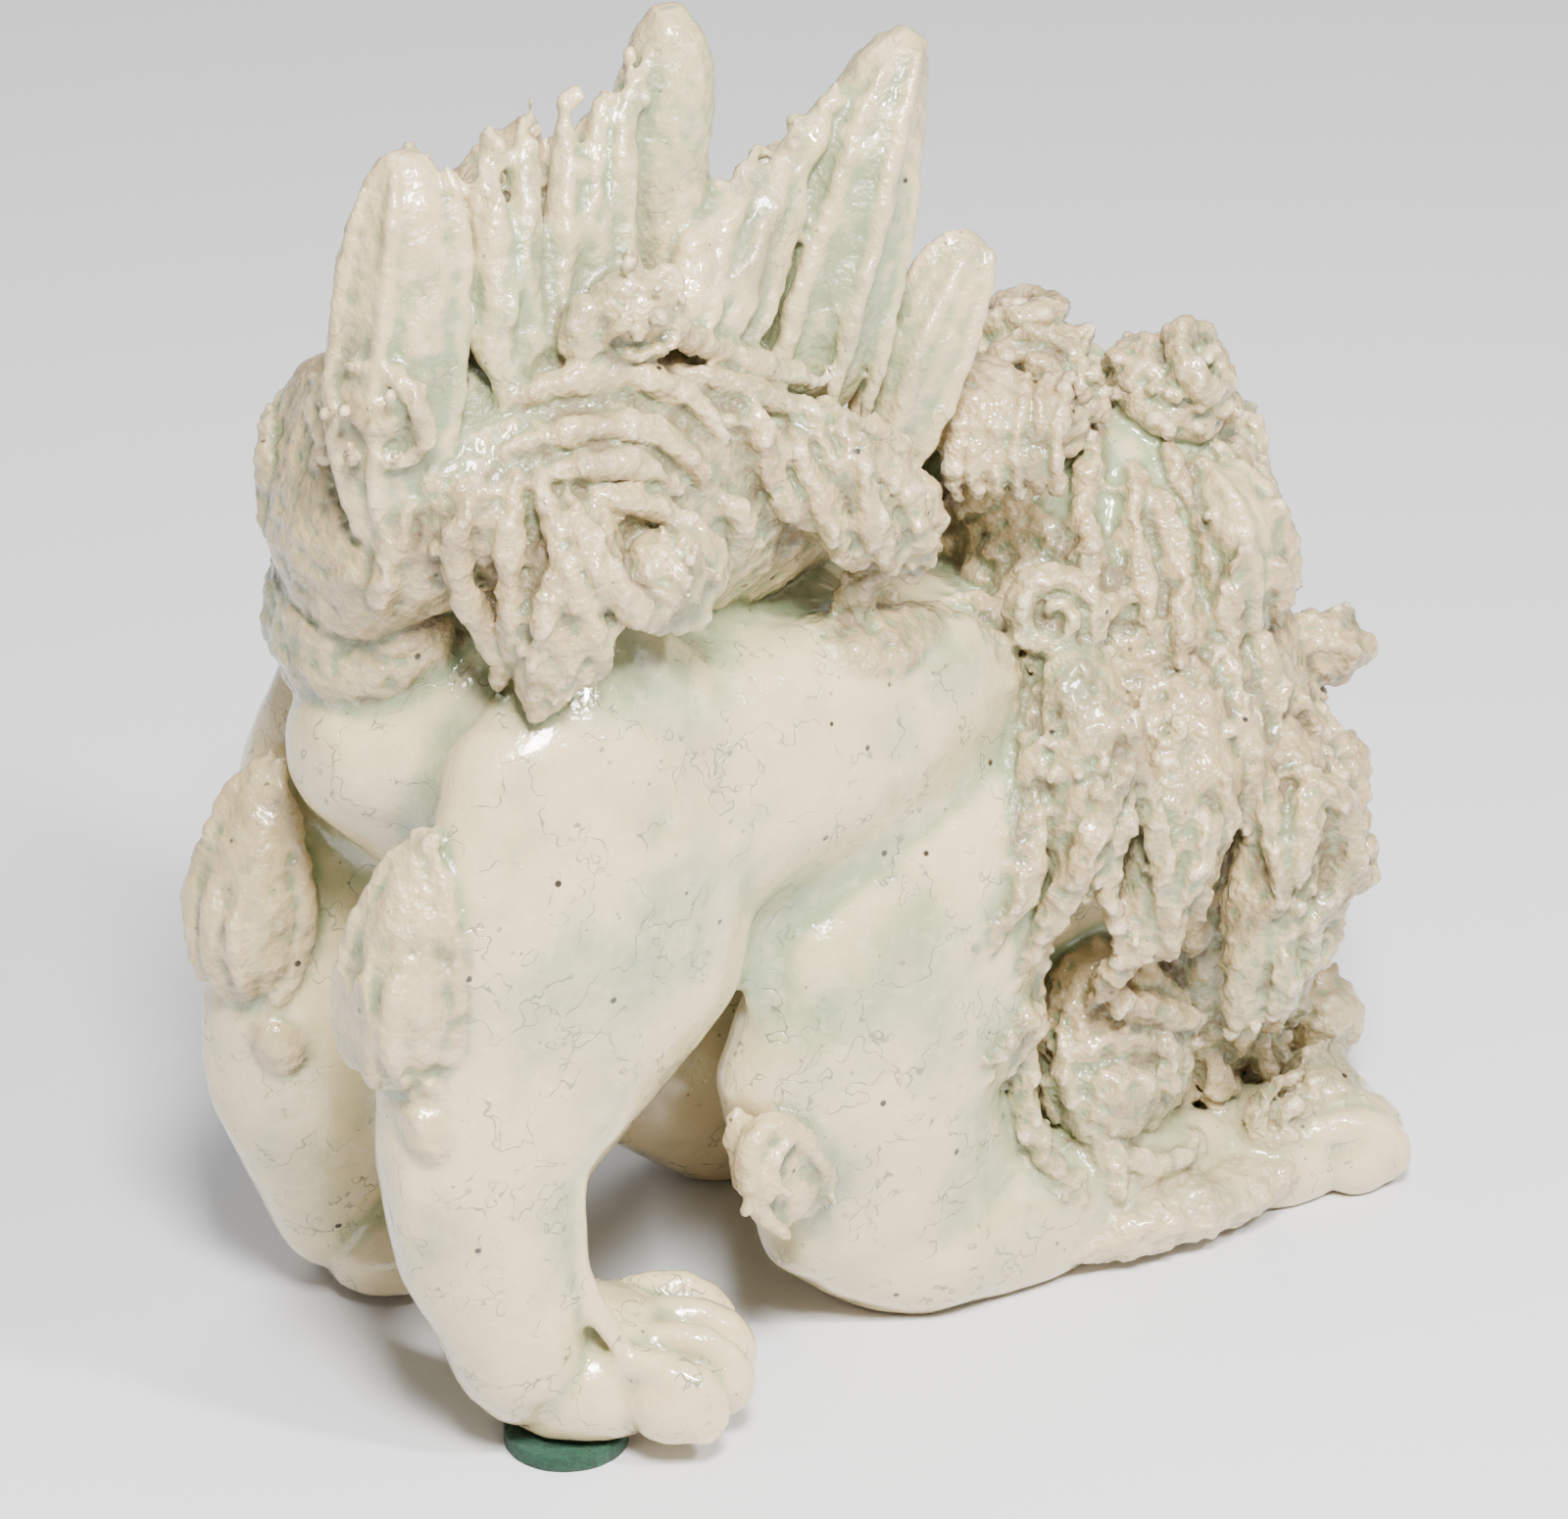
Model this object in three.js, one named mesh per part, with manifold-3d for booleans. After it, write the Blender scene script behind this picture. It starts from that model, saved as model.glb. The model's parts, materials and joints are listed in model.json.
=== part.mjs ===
// Guardian lion figure ("foo dog") in hand-built glazed stoneware, crouching with its rump up and its
// head turned. Every lump, roll and curl of clay that the maker luted on is its own solid, and two felt
// pads are glued under the hind paws. Millimetres, +Z up, +X towards the chest, +Y towards the lion's
// left, which its face looks to.
import * as THREE from "three";
import { mergeVertices } from "three/addons/utils/BufferGeometryUtils.js";
import Module from "manifold-3d";

const wasm = await Module();
wasm.setup();

// ---- Driving dimensions ------------------------------------------------------------------------
const JOINT_GAP = 0.3; // the luted joint between two pieces of clay
const PAD_RADIUS = 6;
const PAD_THICKNESS = 1.6;
const PAD_SIDES = 24;
const PAD_CENTRES = { right: [-42, -18.5], left: [-37, 18] }; // the left one is glued further forward
const FORE_Y = 15;
const SHOULDER_Y = 15;
const HEAD = new THREE.Vector3(34.5, 4, 63.5); // centre of the skull
const HEAD_YAW = 35; // degrees, to the lion's left
const HEAD_ROLL = 10; // degrees, the left ear up
const SKULL = [18, 18, 18.5]; // half its length, width and height
const GROUND = { side: 400, depth: 50 }; // the block that trims the soles flat
const SOLE_FLOOR = PAD_THICKNESS + JOINT_GAP; // the hind feet stand on their pads

// ---- Materials ---------------------------------------------------------------------------------
const glaze = new THREE.MeshStandardMaterial({ color: 0xd6d3c0, roughness: 0.18, metalness: 0 });
const felt = new THREE.MeshStandardMaterial({ color: 0x14603a, roughness: 0.95, metalness: 0 });

// ---- Clay --------------------------------------------------------------------------------------
// A roll of clay: a sphere drawn out along a spine. Each station is [x, y, z, half width, half
// thickness]; the width lies along side. A lower blunt makes blunter ends. grow makes the same roll that
// much fatter.
function roll(stations, { side = [0, 1, 0], sides = 12, rings = 8, blunt = 0.65 } = {}, grow = 0) {
  const spine = new THREE.CatmullRomCurve3(stations.map(([x, y, z]) => new THREE.Vector3(x, y, z)));
  const girth = new THREE.CatmullRomCurve3(stations.map(([, , , w, h]) => new THREE.Vector3(w, h, 0)));
  const geometry = new THREE.SphereGeometry(1, sides, rings);
  const position = geometry.getAttribute("position");
  const wide = new THREE.Vector3(...side).normalize();
  for (let i = 0; i < position.count; i++) {
    const [sx, sy, sz] = [position.getX(i), position.getY(i), position.getZ(i)];
    const t = THREE.MathUtils.clamp((1 - sy) / 2, 0, 1);
    const tangent = spine.getTangent(t);
    const s = wide.clone().addScaledVector(tangent, -wide.dot(tangent)).normalize();
    const n = tangent.clone().cross(s);
    const r = girth.getPoint(t);
    const ring = Math.hypot(sx, sz);
    const fullness = ring > 1e-6 ? Math.pow(ring, blunt) / ring : 0;
    const p = spine.getPoint(t).addScaledVector(tangent, -sy * grow);
    p.addScaledVector(s, sx * fullness * (r.x + grow)).addScaledVector(n, sz * fullness * (r.y + grow));
    position.setXYZ(i, p.x, p.y, p.z);
  }
  return geometry;
}

// A lump of clay: an ellipsoid with its own axes, which are long along forward and high along up.
function lump(centre, [long, wide, high], axes = {}, grow = 0) {
  const { forward = [1, 0, 0], up = [0, 0, 1], sides = 12, rings = 8 } = axes;
  const x = new THREE.Vector3(...forward).normalize();
  const y = new THREE.Vector3(...up).cross(x).normalize();
  const z = x.clone().cross(y);
  const turn = new THREE.Matrix4().makeBasis(x, y, z).setPosition(new THREE.Vector3(...centre));
  const size = new THREE.Matrix4().makeScale(long + grow, wide + grow, high + grow);
  return new THREE.SphereGeometry(1, sides, rings).applyMatrix4(turn.multiply(size));
}

// ---- Solids ------------------------------------------------------------------------------------
function solid(geometry) {
  const bare = geometry.clone();
  bare.deleteAttribute("normal");
  bare.deleteAttribute("uv");
  const merged = mergeVertices(bare, 1e-4);
  return new wasm.Manifold(
    new wasm.Mesh({
      numProp: 3,
      vertProperties: Float32Array.from(merged.getAttribute("position").array),
      triVerts: Uint32Array.from(merged.index.array),
    }),
  );
}

function geometryOf(manifold) {
  const mesh = manifold.getMesh();
  const geometry = new THREE.BufferGeometry();
  geometry.setAttribute("position", new THREE.BufferAttribute(mesh.vertProperties, 3));
  geometry.setIndex(new THREE.BufferAttribute(mesh.triVerts, 1));
  return geometry;
}

const figure = new THREE.Group();
const placed = []; // what is on the bench so far, each as { box, grown } for cutting the next piece

function boxOf(geometry) {
  geometry.computeBoundingBox();
  return geometry.boundingBox.clone();
}

// Adds one node. shapes is a list of functions of grow, each giving one geometry; the node is their
// union, less the joint gap round everything that was placed before it, and less whatever lies under
// floor. A sliver cut off goes.
function place(name, shapes, { material = glaze, floor = 0 } = {}) {
  let body = shapes.map((shape) => solid(shape(0))).reduce((a, b) => a.add(b));
  const box = boxOf(geometryOf(body));
  for (const other of placed)
    if (other.box.intersectsBox(box)) for (const cutter of other.grown) body = body.subtract(cutter);
  if (box.min.z < floor) body = body.subtract(under(floor));
  body = body.decompose().reduce((a, b) => (a.volume() > b.volume() ? a : b));
  const mesh = new THREE.Mesh(geometryOf(body), material);
  mesh.name = name;
  figure.add(mesh);
  const grown = shapes.map((shape) => solid(shape(JOINT_GAP)));
  placed.push({ box: boxOf(geometryOf(grown.reduce((a, b) => a.add(b)))), grown });
}

function under(floor) {
  const block = new THREE.BoxGeometry(GROUND.side, GROUND.side, GROUND.depth);
  return solid(block.translate(0, 0, floor - GROUND.depth / 2));
}

// The lion's right side is -Y and its left side is +Y.
const SIDES = [
  ["right", -1],
  ["left", 1],
];

// ---- Felt pads ---------------------------------------------------------------------------------
for (const [name] of SIDES) {
  const disc = (grow) =>
    new THREE.CylinderGeometry(PAD_RADIUS + grow, PAD_RADIUS + grow, PAD_THICKNESS + 2 * grow, PAD_SIDES)
      .rotateX(Math.PI / 2)
      .translate(...PAD_CENTRES[name], PAD_THICKNESS / 2);
  place(`felt_pad_${name}`, [disc], { material: felt });
}

// ---- Torso -------------------------------------------------------------------------------------
const torso = [
  [-57, 0, 68, 12, 12],
  [-40, 0, 67, 21, 20],
  [-20, 0, 62, 19.5, 18.5],
  [0, 0, 55.5, 17, 15.5],
  [18, 0, 47, 19, 19],
  [32, 0, 32, 18, 21],
  [34, 0, 9, 12, 14],
];
place("torso", [(grow) => roll(torso, { sides: 20, rings: 14 }, grow)]);

// ---- Legs --------------------------------------------------------------------------------------
const THIGH_FORWARD = { right: 0, left: 3 }; // the left thigh stands a little further forward
for (const [name, y] of SIDES) {
  const ahead = THIGH_FORWARD[name];
  const thigh = [
    [-35 + ahead, y * 12, 82, 10, 7],
    [-35 + ahead, y * 15, 70, 20, 9],
    [-37 + ahead, y * 17, 54, 20, 9],
    [-44, y * 15.5, 41, 15.5, 8.5],
    [-49, y * 15.5, 29, 10.5, 8],
    [-47, y * 16.5, 17, 9.5, 8.5],
    [-45, y * 17.5, 3, 9.5, 9],
  ];
  place(`hind_leg_${name}`, [(grow) => roll(thigh, { side: [1, 0, 0], sides: 14, rings: 12 }, grow)], {
    floor: SOLE_FLOOR,
  });
}
for (const [name, y] of SIDES) {
  const shoulder = [
    [10, y * SHOULDER_Y, 57, 8, 6],
    [5, y * (SHOULDER_Y + 1), 47, 15, 8],
    [-4, y * (SHOULDER_Y + 1), 33, 17, 8.5],
    [-6, y * (SHOULDER_Y + 0.5), 20, 15.5, 9],
    [4, y * FORE_Y, 8, 14, 8.5],
    [14, y * FORE_Y, 3, 8, 7],
  ];
  const forearm = [
    [-14, y * FORE_Y, 12, 7, 8],
    [2, y * (FORE_Y + 1), 7, 9, 9],
    [20, y * (FORE_Y + 2), 6, 8, 8],
    [38, y * (FORE_Y + 3), 5, 6.5, 6.5],
  ];
  place(`foreleg_${name}`, [
    (grow) => roll(shoulder, { side: [1, 0, 0], sides: 14, rings: 10 }, grow),
    (grow) => roll(forearm, { sides: 12, rings: 8 }, grow),
  ]);
}

// ---- Paws: a sole with four rolled toes, turned outwards ---------------------------------------
const HIND_PAW = { name: "hind_paw", x: -38.5, y: 16.5, turn: 38, length: 11, width: 9.5, height: 7 };
const FORE_PAW = { name: "fore_paw", x: 42, y: FORE_Y + 3.5, turn: 8, length: 9.5, width: 8, height: 6 };
const TOE = [4.4, 2.8, 4.3];
const TOE_CURVE = 0.35; // how far the outer toes stand back, as a share of the paw's length
const PAW_RISE = 0.62; // height of the paw's centre over its floor, as a share of its half height
const TOE_SPREAD = [-0.8, -0.28, 0.28, 0.8]; // share of the paw's half width

for (const [paw, floor] of [[HIND_PAW, SOLE_FLOOR], [FORE_PAW, 0]])
  for (const [name, y] of SIDES) {
    const angle = THREE.MathUtils.degToRad(paw.turn * y);
    const ahead = new THREE.Vector3(Math.cos(angle), Math.sin(angle), 0);
    const across = new THREE.Vector3(-ahead.y, ahead.x, 0);
    const centre = new THREE.Vector3(paw.x, y * paw.y, floor + paw.height * PAW_RISE);
    const forward = ahead.toArray();
    const axes = [paw.length, paw.width, paw.height];
    place(`${paw.name}_${name}`, [(grow) => lump(centre.toArray(), axes, { forward }, grow)], { floor });
    const toes = TOE_SPREAD.map((share) => (grow) => {
      const reach = paw.length * (1 - TOE_CURVE * share * share);
      const tip = centre.clone().addScaledVector(ahead, reach).addScaledVector(across, share * paw.width);
      return lump(tip.toArray(), TOE, { forward, sides: 8, rings: 6 }, grow);
    });
    place(`${paw.name}_toes_${name}`, toes, { floor });
  }

// ---- Flame tufts behind the hocks and elbows ---------------------------------------------------
const HOCKS = {
  right: new THREE.Vector3(-56, -15.5, 41),
  left: new THREE.Vector3(-54.5, 14, 36),
};
for (const [name] of SIDES) {
  const { x, y, z } = HOCKS[name];
  const hock = [
    [x + 2.5, y, z + 27, 1.5, 1.5],
    [x + 0.5, y, z + 20, 4.5, 3.5],
    [x - 1, y, z + 12, 6.5, 5],
    [x - 1, y, z + 5.5, 6.5, 5.5],
    [x + 0.5, y, z, 3, 3],
  ];
  place(`hock_tuft_${name}`, [(grow) => roll(hock, { sides: 10, rings: 8 }, grow)]);
}
for (const [name, y] of SIDES) {
  const elbow = [
    [-23, y * 18, 31, 2, 2],
    [-22, y * 20, 27, 4.5, 3.5],
    [-19, y * 21.5, 21, 5.5, 4],
    [-14, y * 21.5, 16, 2.5, 2.5],
  ];
  place(`elbow_tuft_${name}`, [(grow) => roll(elbow, { side: [1, 0, 1], sides: 10, rings: 6 }, grow)]);
}

// ---- Head --------------------------------------------------------------------------------------
const facing = new THREE.Vector3(1, 0, 0).applyAxisAngle(
  new THREE.Vector3(0, 0, 1),
  THREE.MathUtils.degToRad(HEAD_YAW),
);
const crown = new THREE.Vector3(0, 0, 1).applyAxisAngle(facing, THREE.MathUtils.degToRad(HEAD_ROLL));
const cheek = crown.clone().cross(facing); // towards the lion's left ear

// A point of the head: a along the face, l to the lion's left, u up.
const onHead = (a, l, u) =>
  HEAD.clone().addScaledVector(facing, a).addScaledVector(cheek, l).addScaledVector(crown, u).toArray();
const headAxes = { forward: facing.toArray(), up: crown.toArray() };
const station = (a, l, u, w, h) => [...onHead(a, l, u), w, h];

place("skull", [
  (grow) => lump(HEAD.toArray(), SKULL, { ...headAxes, sides: 18, rings: 12 }, grow),
]);
place("muzzle", [
  (grow) => lump(onHead(17, 0, -2), [11, 13, 7], { ...headAxes, sides: 14, rings: 8 }, grow),
]);
place("lower_jaw", [
  (grow) => lump(onHead(13.5, 0, -16), [12, 10.5, 4.5], { ...headAxes, sides: 12, rings: 8 }, grow),
]);
place("nose", [
  (grow) => lump(onHead(26, 0, 2.5), [4, 6, 3.6], { ...headAxes, sides: 10, rings: 6 }, grow),
]);
for (const [name, y] of SIDES)
  place(`eye_${name}`, [
    (grow) => lump(onHead(15, y * 7, 5.5), [4.5, 4, 4], { ...headAxes, sides: 10, rings: 8 }, grow),
  ]);
for (const [name, y] of SIDES) {
  const brow = [
    station(19, y * 2, 7, 1.5, 2),
    station(17, y * 6, 10.5, 2.5, 2.5),
    station(12, y * 11, 10.5, 2.5, 2.5),
    station(6, y * 13, 10, 1.2, 1.5),
  ];
  place(`brow_${name}`, [(grow) => roll(brow, { side: facing.toArray(), sides: 8, rings: 6 }, grow)]);
}
place("tongue", [
  (grow) => lump(onHead(15, 0, -10.6), [9.5, 5.5, 1.6], { ...headAxes, sides: 8, rings: 6 }, grow),
]);
const GUM = { along: [17, 25, 25, 17], across: [-9, -5, 5, 9], up: -8.6, wide: 1.4, thick: 1.2 };
const gum = GUM.along.map((a, i) => station(a, GUM.across[i], GUM.up, GUM.wide, GUM.thick));
const fangs = SIDES.map(
  ([, y]) =>
    (grow) =>
      lump(onHead(23, y * 6.6, -10), [1.6, 1.6, 3], { ...headAxes, sides: 6, rings: 4 }, grow),
);
place("upper_teeth", [(grow) => roll(gum, { side: crown.toArray(), sides: 6, rings: 8 }, grow), ...fangs]);
for (const [name, y] of SIDES) {
  const ear = [
    station(-3, y * 10, 14, 3, 2),
    station(-5, y * 15.5, 12, 5.5, 3),
    station(-6, y * 18.5, 5, 6, 3),
    station(-6, y * 18.5, -4, 2.5, 2),
  ];
  place(`ear_${name}`, [(grow) => roll(ear, { side: facing.toArray(), sides: 10, rings: 7 }, grow)]);
}

// ---- Mane: curls round the face and on the nape, locks over the shoulders, and a beard ----------
const CURL = { radius: 6.2, thick: 4.8 };
const FACE_RING = { angles: [62, 105, 205, 335], along: 0, radius: 19 };
const NAPE_RING = { angles: [75], along: -11, radius: 19.5 };

const curlAt = (ring, degrees) => (grow) => {
  const angle = THREE.MathUtils.degToRad(degrees);
  const [l, u] = [Math.cos(angle) * ring.radius, Math.sin(angle) * ring.radius];
  const out = new THREE.Vector3().addScaledVector(cheek, l).addScaledVector(crown, u).normalize();
  return lump(
    onHead(ring.along, l, u),
    [CURL.thick, CURL.radius, CURL.radius],
    { forward: out.toArray(), up: facing.toArray(), sides: 10, rings: 6 },
    grow,
  );
};
let curls = 0;
for (const ring of [FACE_RING, NAPE_RING])
  for (const degrees of ring.angles) place(`mane_curl_${++curls}`, [curlAt(ring, degrees)]);

const MANE_COLLAR = [
  [20, 3, 76, 8, 7],
  [27, 0, 64, 19, 15],
  [34.5, -2, 50, 20, 19],
  [38, -3, 34, 19, 17],
  [40, -4, 17, 16, 15],
  [41, -4, 1, 12, 11],
];
place("mane_collar", [(grow) => roll(MANE_COLLAR, { sides: 18, rings: 12 }, grow)]);

function placeLock(name, lock, side) {
  place(name, [(grow) => roll(lock, { side, sides: 8, rings: 7 }, grow)]);
}

const MANE_LOCKS = [
  // down over the right shoulder, from the nape to the knee
  [[17, -14, 68, 2, 2], [17, -20, 60, 5.5, 4.5], [15, -22.5, 50, 5, 4], [10, -23, 40, 1.5, 1.5]],
  [[29, -17, 62, 3, 3], [28, -22, 53, 6, 5], [24, -24, 42, 5.5, 4], [17, -24, 31, 1.5, 1.5]],
  [[40, -18, 54, 3, 3], [39, -24, 46, 6, 5], [36, -25.5, 35, 6, 4.5], [31, -26, 23, 2, 2]],
  [[45, -13, 52, 3, 3], [46, -15, 44, 6, 6], [46, -16, 33, 6, 6], [44, -18, 20, 2.5, 2.5]],
  [[22, -14, 33, 3, 3], [24, -15, 25, 9, 8], [25, -15, 14, 9, 8], [27, -15, 5, 3, 3]],
  // down over the left shoulder
  [[16, 14, 62, 2, 2], [12, 19, 54, 5, 4.5], [10, 22.5, 44, 5, 4], [6, 23, 34, 1.5, 1.5]],
];
MANE_LOCKS.forEach((lock, i) => placeLock(`mane_lock_${i + 1}`, lock, [1, 0, 0]));

const BEARD = [
  [[50, 14, 42, 3, 3], [51, 16, 34, 8, 6], [50, 15, 23, 7, 6], [48, 12, 11, 2, 2]],
  [[36, 17, 43, 3, 3], [36, 20, 34, 7, 5], [35, 19, 23, 6, 5], [33, 16, 12, 2, 2]],
];
BEARD.forEach((lock, i) => placeLock(`beard_lock_${i + 1}`, lock, [0.6, 0.8, 0]));

// ---- Tail: a bush of flames that stands on the rump, with round curls at their roots -----------
const TAIL_BUSH = [
  [-54, 0, 80, 9, 6],
  [-46, 0, 92, 18, 14],
  [-28, 0, 92, 19, 17],
  [-10, 0, 84, 15, 13],
  [3, 0, 76, 7, 5],
];
place("tail_bush", [(grow) => roll(TAIL_BUSH, { sides: 16, rings: 9 }, grow)]);
const PLUME = { side: [1, 0, 0], sides: 10, rings: 8, blunt: 0.5 };
const TAIL_PLUMES = [
  [[-52, -6, 88, 4, 3], [-50, -6, 98, 6, 5], [-46.5, -4, 112, 5.5, 4.5], [-43, -1, 126, 2.8, 2.4]],
  [[-32, -4, 92, 6, 5], [-28, -3, 106, 8.5, 6.5], [-21, -1, 119, 5.5, 5], [-15, 1, 132, 2.2, 2.2]],
  [[-14, -5, 84, 6, 5], [-8, -5, 98, 8.5, 6.5], [2, -3, 111, 5.5, 5], [11, 0, 124, 2.2, 2.2]],
  [[-3, -8, 78, 4, 3], [3, -8, 86, 5.5, 4], [9, -6, 97, 5, 3.5], [14, -4, 106, 2, 2]],
  [[-42, 7, 92, 5, 4], [-38, 8, 104, 7, 5], [-32, 7, 114, 5, 4], [-27, 6, 122, 2, 2]],
  [[-14, 8, 84, 5, 4], [-9, 9, 95, 6.5, 5], [-3, 9, 104, 4.5, 4], [2, 8, 112, 2, 2]],
];
TAIL_PLUMES.forEach((plume, i) =>
  place(`tail_plume_${i + 1}`, [(grow) => roll(plume, PLUME, grow)]),
);
// Two locks fall down each side of the bush: one forward, one back. Each is given for the left side.
const TAIL_LOCKS = [
  [[-20, 10, 97, 3, 3], [-12, 15, 92, 5.5, 4.5], [-5, 16, 85, 5.5, 4.5], [-1, 15, 78, 2.5, 2.5]],
  [[-36, 14, 98, 3, 3], [-39, 18, 91, 5.5, 4.5], [-42, 19.5, 83, 5, 4], [-44, 18, 76, 2, 2]],
];
const TAIL_LOCK_SIDES = [
  [1, 0, 1],
  [1, 0, -0.5],
];
for (const [sideName, y] of SIDES)
  TAIL_LOCKS.forEach((lock, i) => {
    const mirrored = lock.map(([sx, sy, sz, w, h]) => [sx, sy * y, sz, w, h]);
    placeLock(`tail_lock_${sideName}_${i + 1}`, mirrored, TAIL_LOCK_SIDES[i]);
  });
const BOSS = { long: 4.5, wide: 4.8, high: 4.8 };
const TAIL_BOSSES = [
  { centre: [-29, -12, 110], forward: [-0.1, -1, 0.2] },
  { centre: [-32, -21, 88], forward: [0, -1, 0] },
  { centre: [-53, -9, 105], forward: [-0.8, -0.6, 0] },
  { centre: [-49, 10, 92], forward: [-0.8, 0.6, 0] },
];
TAIL_BOSSES.forEach(({ centre, forward }, i) =>
  place(`tail_boss_${i + 1}`, [
    (grow) => lump(centre, [BOSS.long, BOSS.wide, BOSS.high], { forward, sides: 10, rings: 6 }, grow),
  ]),
);

// ---- Origin: under the middle of the figure's box, on the ground -------------------------------
const box = new THREE.Box3().setFromObject(figure);
const middle = box.getCenter(new THREE.Vector3());
figure.position.set(-middle.x, -middle.y, -box.min.z);

export default figure;
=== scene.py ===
"""Guardian lion figure in hand-built glazed stoneware: the looks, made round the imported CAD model.

The maker's bench is measured in millimetres, +X to the chest, +Y to the lion's left, +Z up. Each piece
of clay is laid on the bench as its own closed solid and belongs to one CAD node. The firing then lets
one skin of glaze flow over all of them, and parts that skin again, one piece for each node.
"""

import functools
import json
import math
import random

import bmesh
import bpy
import numpy as np
from bpy.props import FloatProperty, FloatVectorProperty, IntProperty, PointerProperty
from bpy.types import Operator, Panel, PropertyGroup
from mathutils import Matrix, Vector, noise
from mathutils.bvhtree import BVHTree

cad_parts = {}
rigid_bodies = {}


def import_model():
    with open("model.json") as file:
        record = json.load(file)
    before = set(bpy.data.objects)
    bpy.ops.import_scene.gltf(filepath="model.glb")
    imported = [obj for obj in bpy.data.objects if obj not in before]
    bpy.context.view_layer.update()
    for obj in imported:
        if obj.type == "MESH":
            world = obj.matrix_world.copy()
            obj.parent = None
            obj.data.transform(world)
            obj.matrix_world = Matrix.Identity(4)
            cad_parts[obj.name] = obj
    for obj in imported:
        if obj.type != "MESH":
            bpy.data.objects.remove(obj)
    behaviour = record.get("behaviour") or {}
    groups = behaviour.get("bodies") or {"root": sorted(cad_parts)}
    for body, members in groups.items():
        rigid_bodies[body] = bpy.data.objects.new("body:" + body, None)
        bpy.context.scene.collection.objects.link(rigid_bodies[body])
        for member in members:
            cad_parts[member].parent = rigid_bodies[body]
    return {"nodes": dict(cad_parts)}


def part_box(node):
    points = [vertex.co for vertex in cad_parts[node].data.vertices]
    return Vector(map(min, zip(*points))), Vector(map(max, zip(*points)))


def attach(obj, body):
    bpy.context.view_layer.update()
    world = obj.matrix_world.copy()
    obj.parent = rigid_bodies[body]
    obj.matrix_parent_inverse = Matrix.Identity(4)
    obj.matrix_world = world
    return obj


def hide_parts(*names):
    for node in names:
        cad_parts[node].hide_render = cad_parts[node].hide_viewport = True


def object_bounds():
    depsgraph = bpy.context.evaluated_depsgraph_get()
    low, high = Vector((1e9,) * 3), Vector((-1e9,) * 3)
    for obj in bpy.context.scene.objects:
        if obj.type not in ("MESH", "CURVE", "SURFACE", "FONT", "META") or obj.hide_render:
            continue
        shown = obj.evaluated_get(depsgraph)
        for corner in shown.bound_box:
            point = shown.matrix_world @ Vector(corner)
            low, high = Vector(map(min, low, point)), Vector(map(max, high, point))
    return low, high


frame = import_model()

bl_info = {
    "name": "Guardian Lion Workshop",
    "version": (1, 0, 0),
    "blender": (4, 5, 0),
    "location": "View3D > Sidebar > Lion",
    "description": "Lays the clay of a guardian lion on its CAD solids and glazes it",
    "category": "Add Mesh",
}

CAD_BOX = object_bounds()
NODES = sorted(frame["nodes"])
MM = 0.001
BODY = "root"
SIDES = (("right", -1), ("left", 1))

# The right felt pad ties the bench to the frame.
PAD_ON_BENCH = Vector((-42, -18.5, 0.8))
PAD_LOW, PAD_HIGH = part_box("felt_pad_right")
BENCH = (PAD_LOW + PAD_HIGH) / 2 - PAD_ON_BENCH * MM
PAD_TOP = PAD_HIGH.z

# The head's own directions: it is turned to the lion's left, with the left ear up.
HEAD = Vector((34.5, 4, 63.5))
FACING = Matrix.Rotation(math.radians(35), 3, "Z") @ Vector((1, 0, 0))
CROWN = Matrix.Rotation(math.radians(10), 3, FACING) @ Vector((0, 0, 1))
CHEEK = CROWN.cross(FACING)


def on_head(ahead, left, up):
    """A point of the head, on the bench: ahead along the face, to the lion's left, and up."""
    return HEAD + FACING * ahead + CHEEK * left + CROWN * up


# ---- Bench ---------------------------------------------------------------------------------------
def to_frame(points):
    """Bench millimetres as an array of row frame metres."""
    return np.array([tuple(p)[:3] for p in points], float) * MM + np.array(BENCH)


def alone(piece):
    """Leaves this piece the only selected and active one."""
    bpy.ops.object.select_all(action="DESELECT")
    piece.select_set(True)
    bpy.context.view_layer.objects.active = piece


def linked(name, mesh):
    """A new object of this mesh, in the scene."""
    piece = bpy.data.objects.new(name, mesh)
    bpy.context.scene.collection.objects.link(piece)
    return piece


def modify(piece, kind, **settings):
    """Adds a modifier with these settings and applies it."""
    alone(piece)
    modifier = piece.modifiers.new(kind.lower(), kind)
    for name, value in settings.items():
        setattr(modifier, name, value)
    bpy.ops.object.modifier_apply(modifier=modifier.name)


def lay(node, piece):
    """Lays a piece of clay on the bench as part of a CAD node's piece."""
    piece["clay_of"] = node
    piece.name = f"clay_{node}"
    return piece


def solids_tree(nodes):
    """A search tree of the named CAD solids."""
    verts, faces = [], []
    for node in nodes:
        mesh = frame["nodes"][node].data
        start = len(verts)
        verts += [v.co.copy() for v in mesh.vertices]
        faces += [[start + i for i in p.vertices] for p in mesh.polygons]
    return BVHTree.FromPolygons(verts, faces)


@functools.lru_cache(maxsize=None)
def tree_of(node=None):
    """The search tree of one node, or of all the glazed ones, made once."""
    return solids_tree([node] if node else [n for n in NODES if "felt" not in n])


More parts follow.
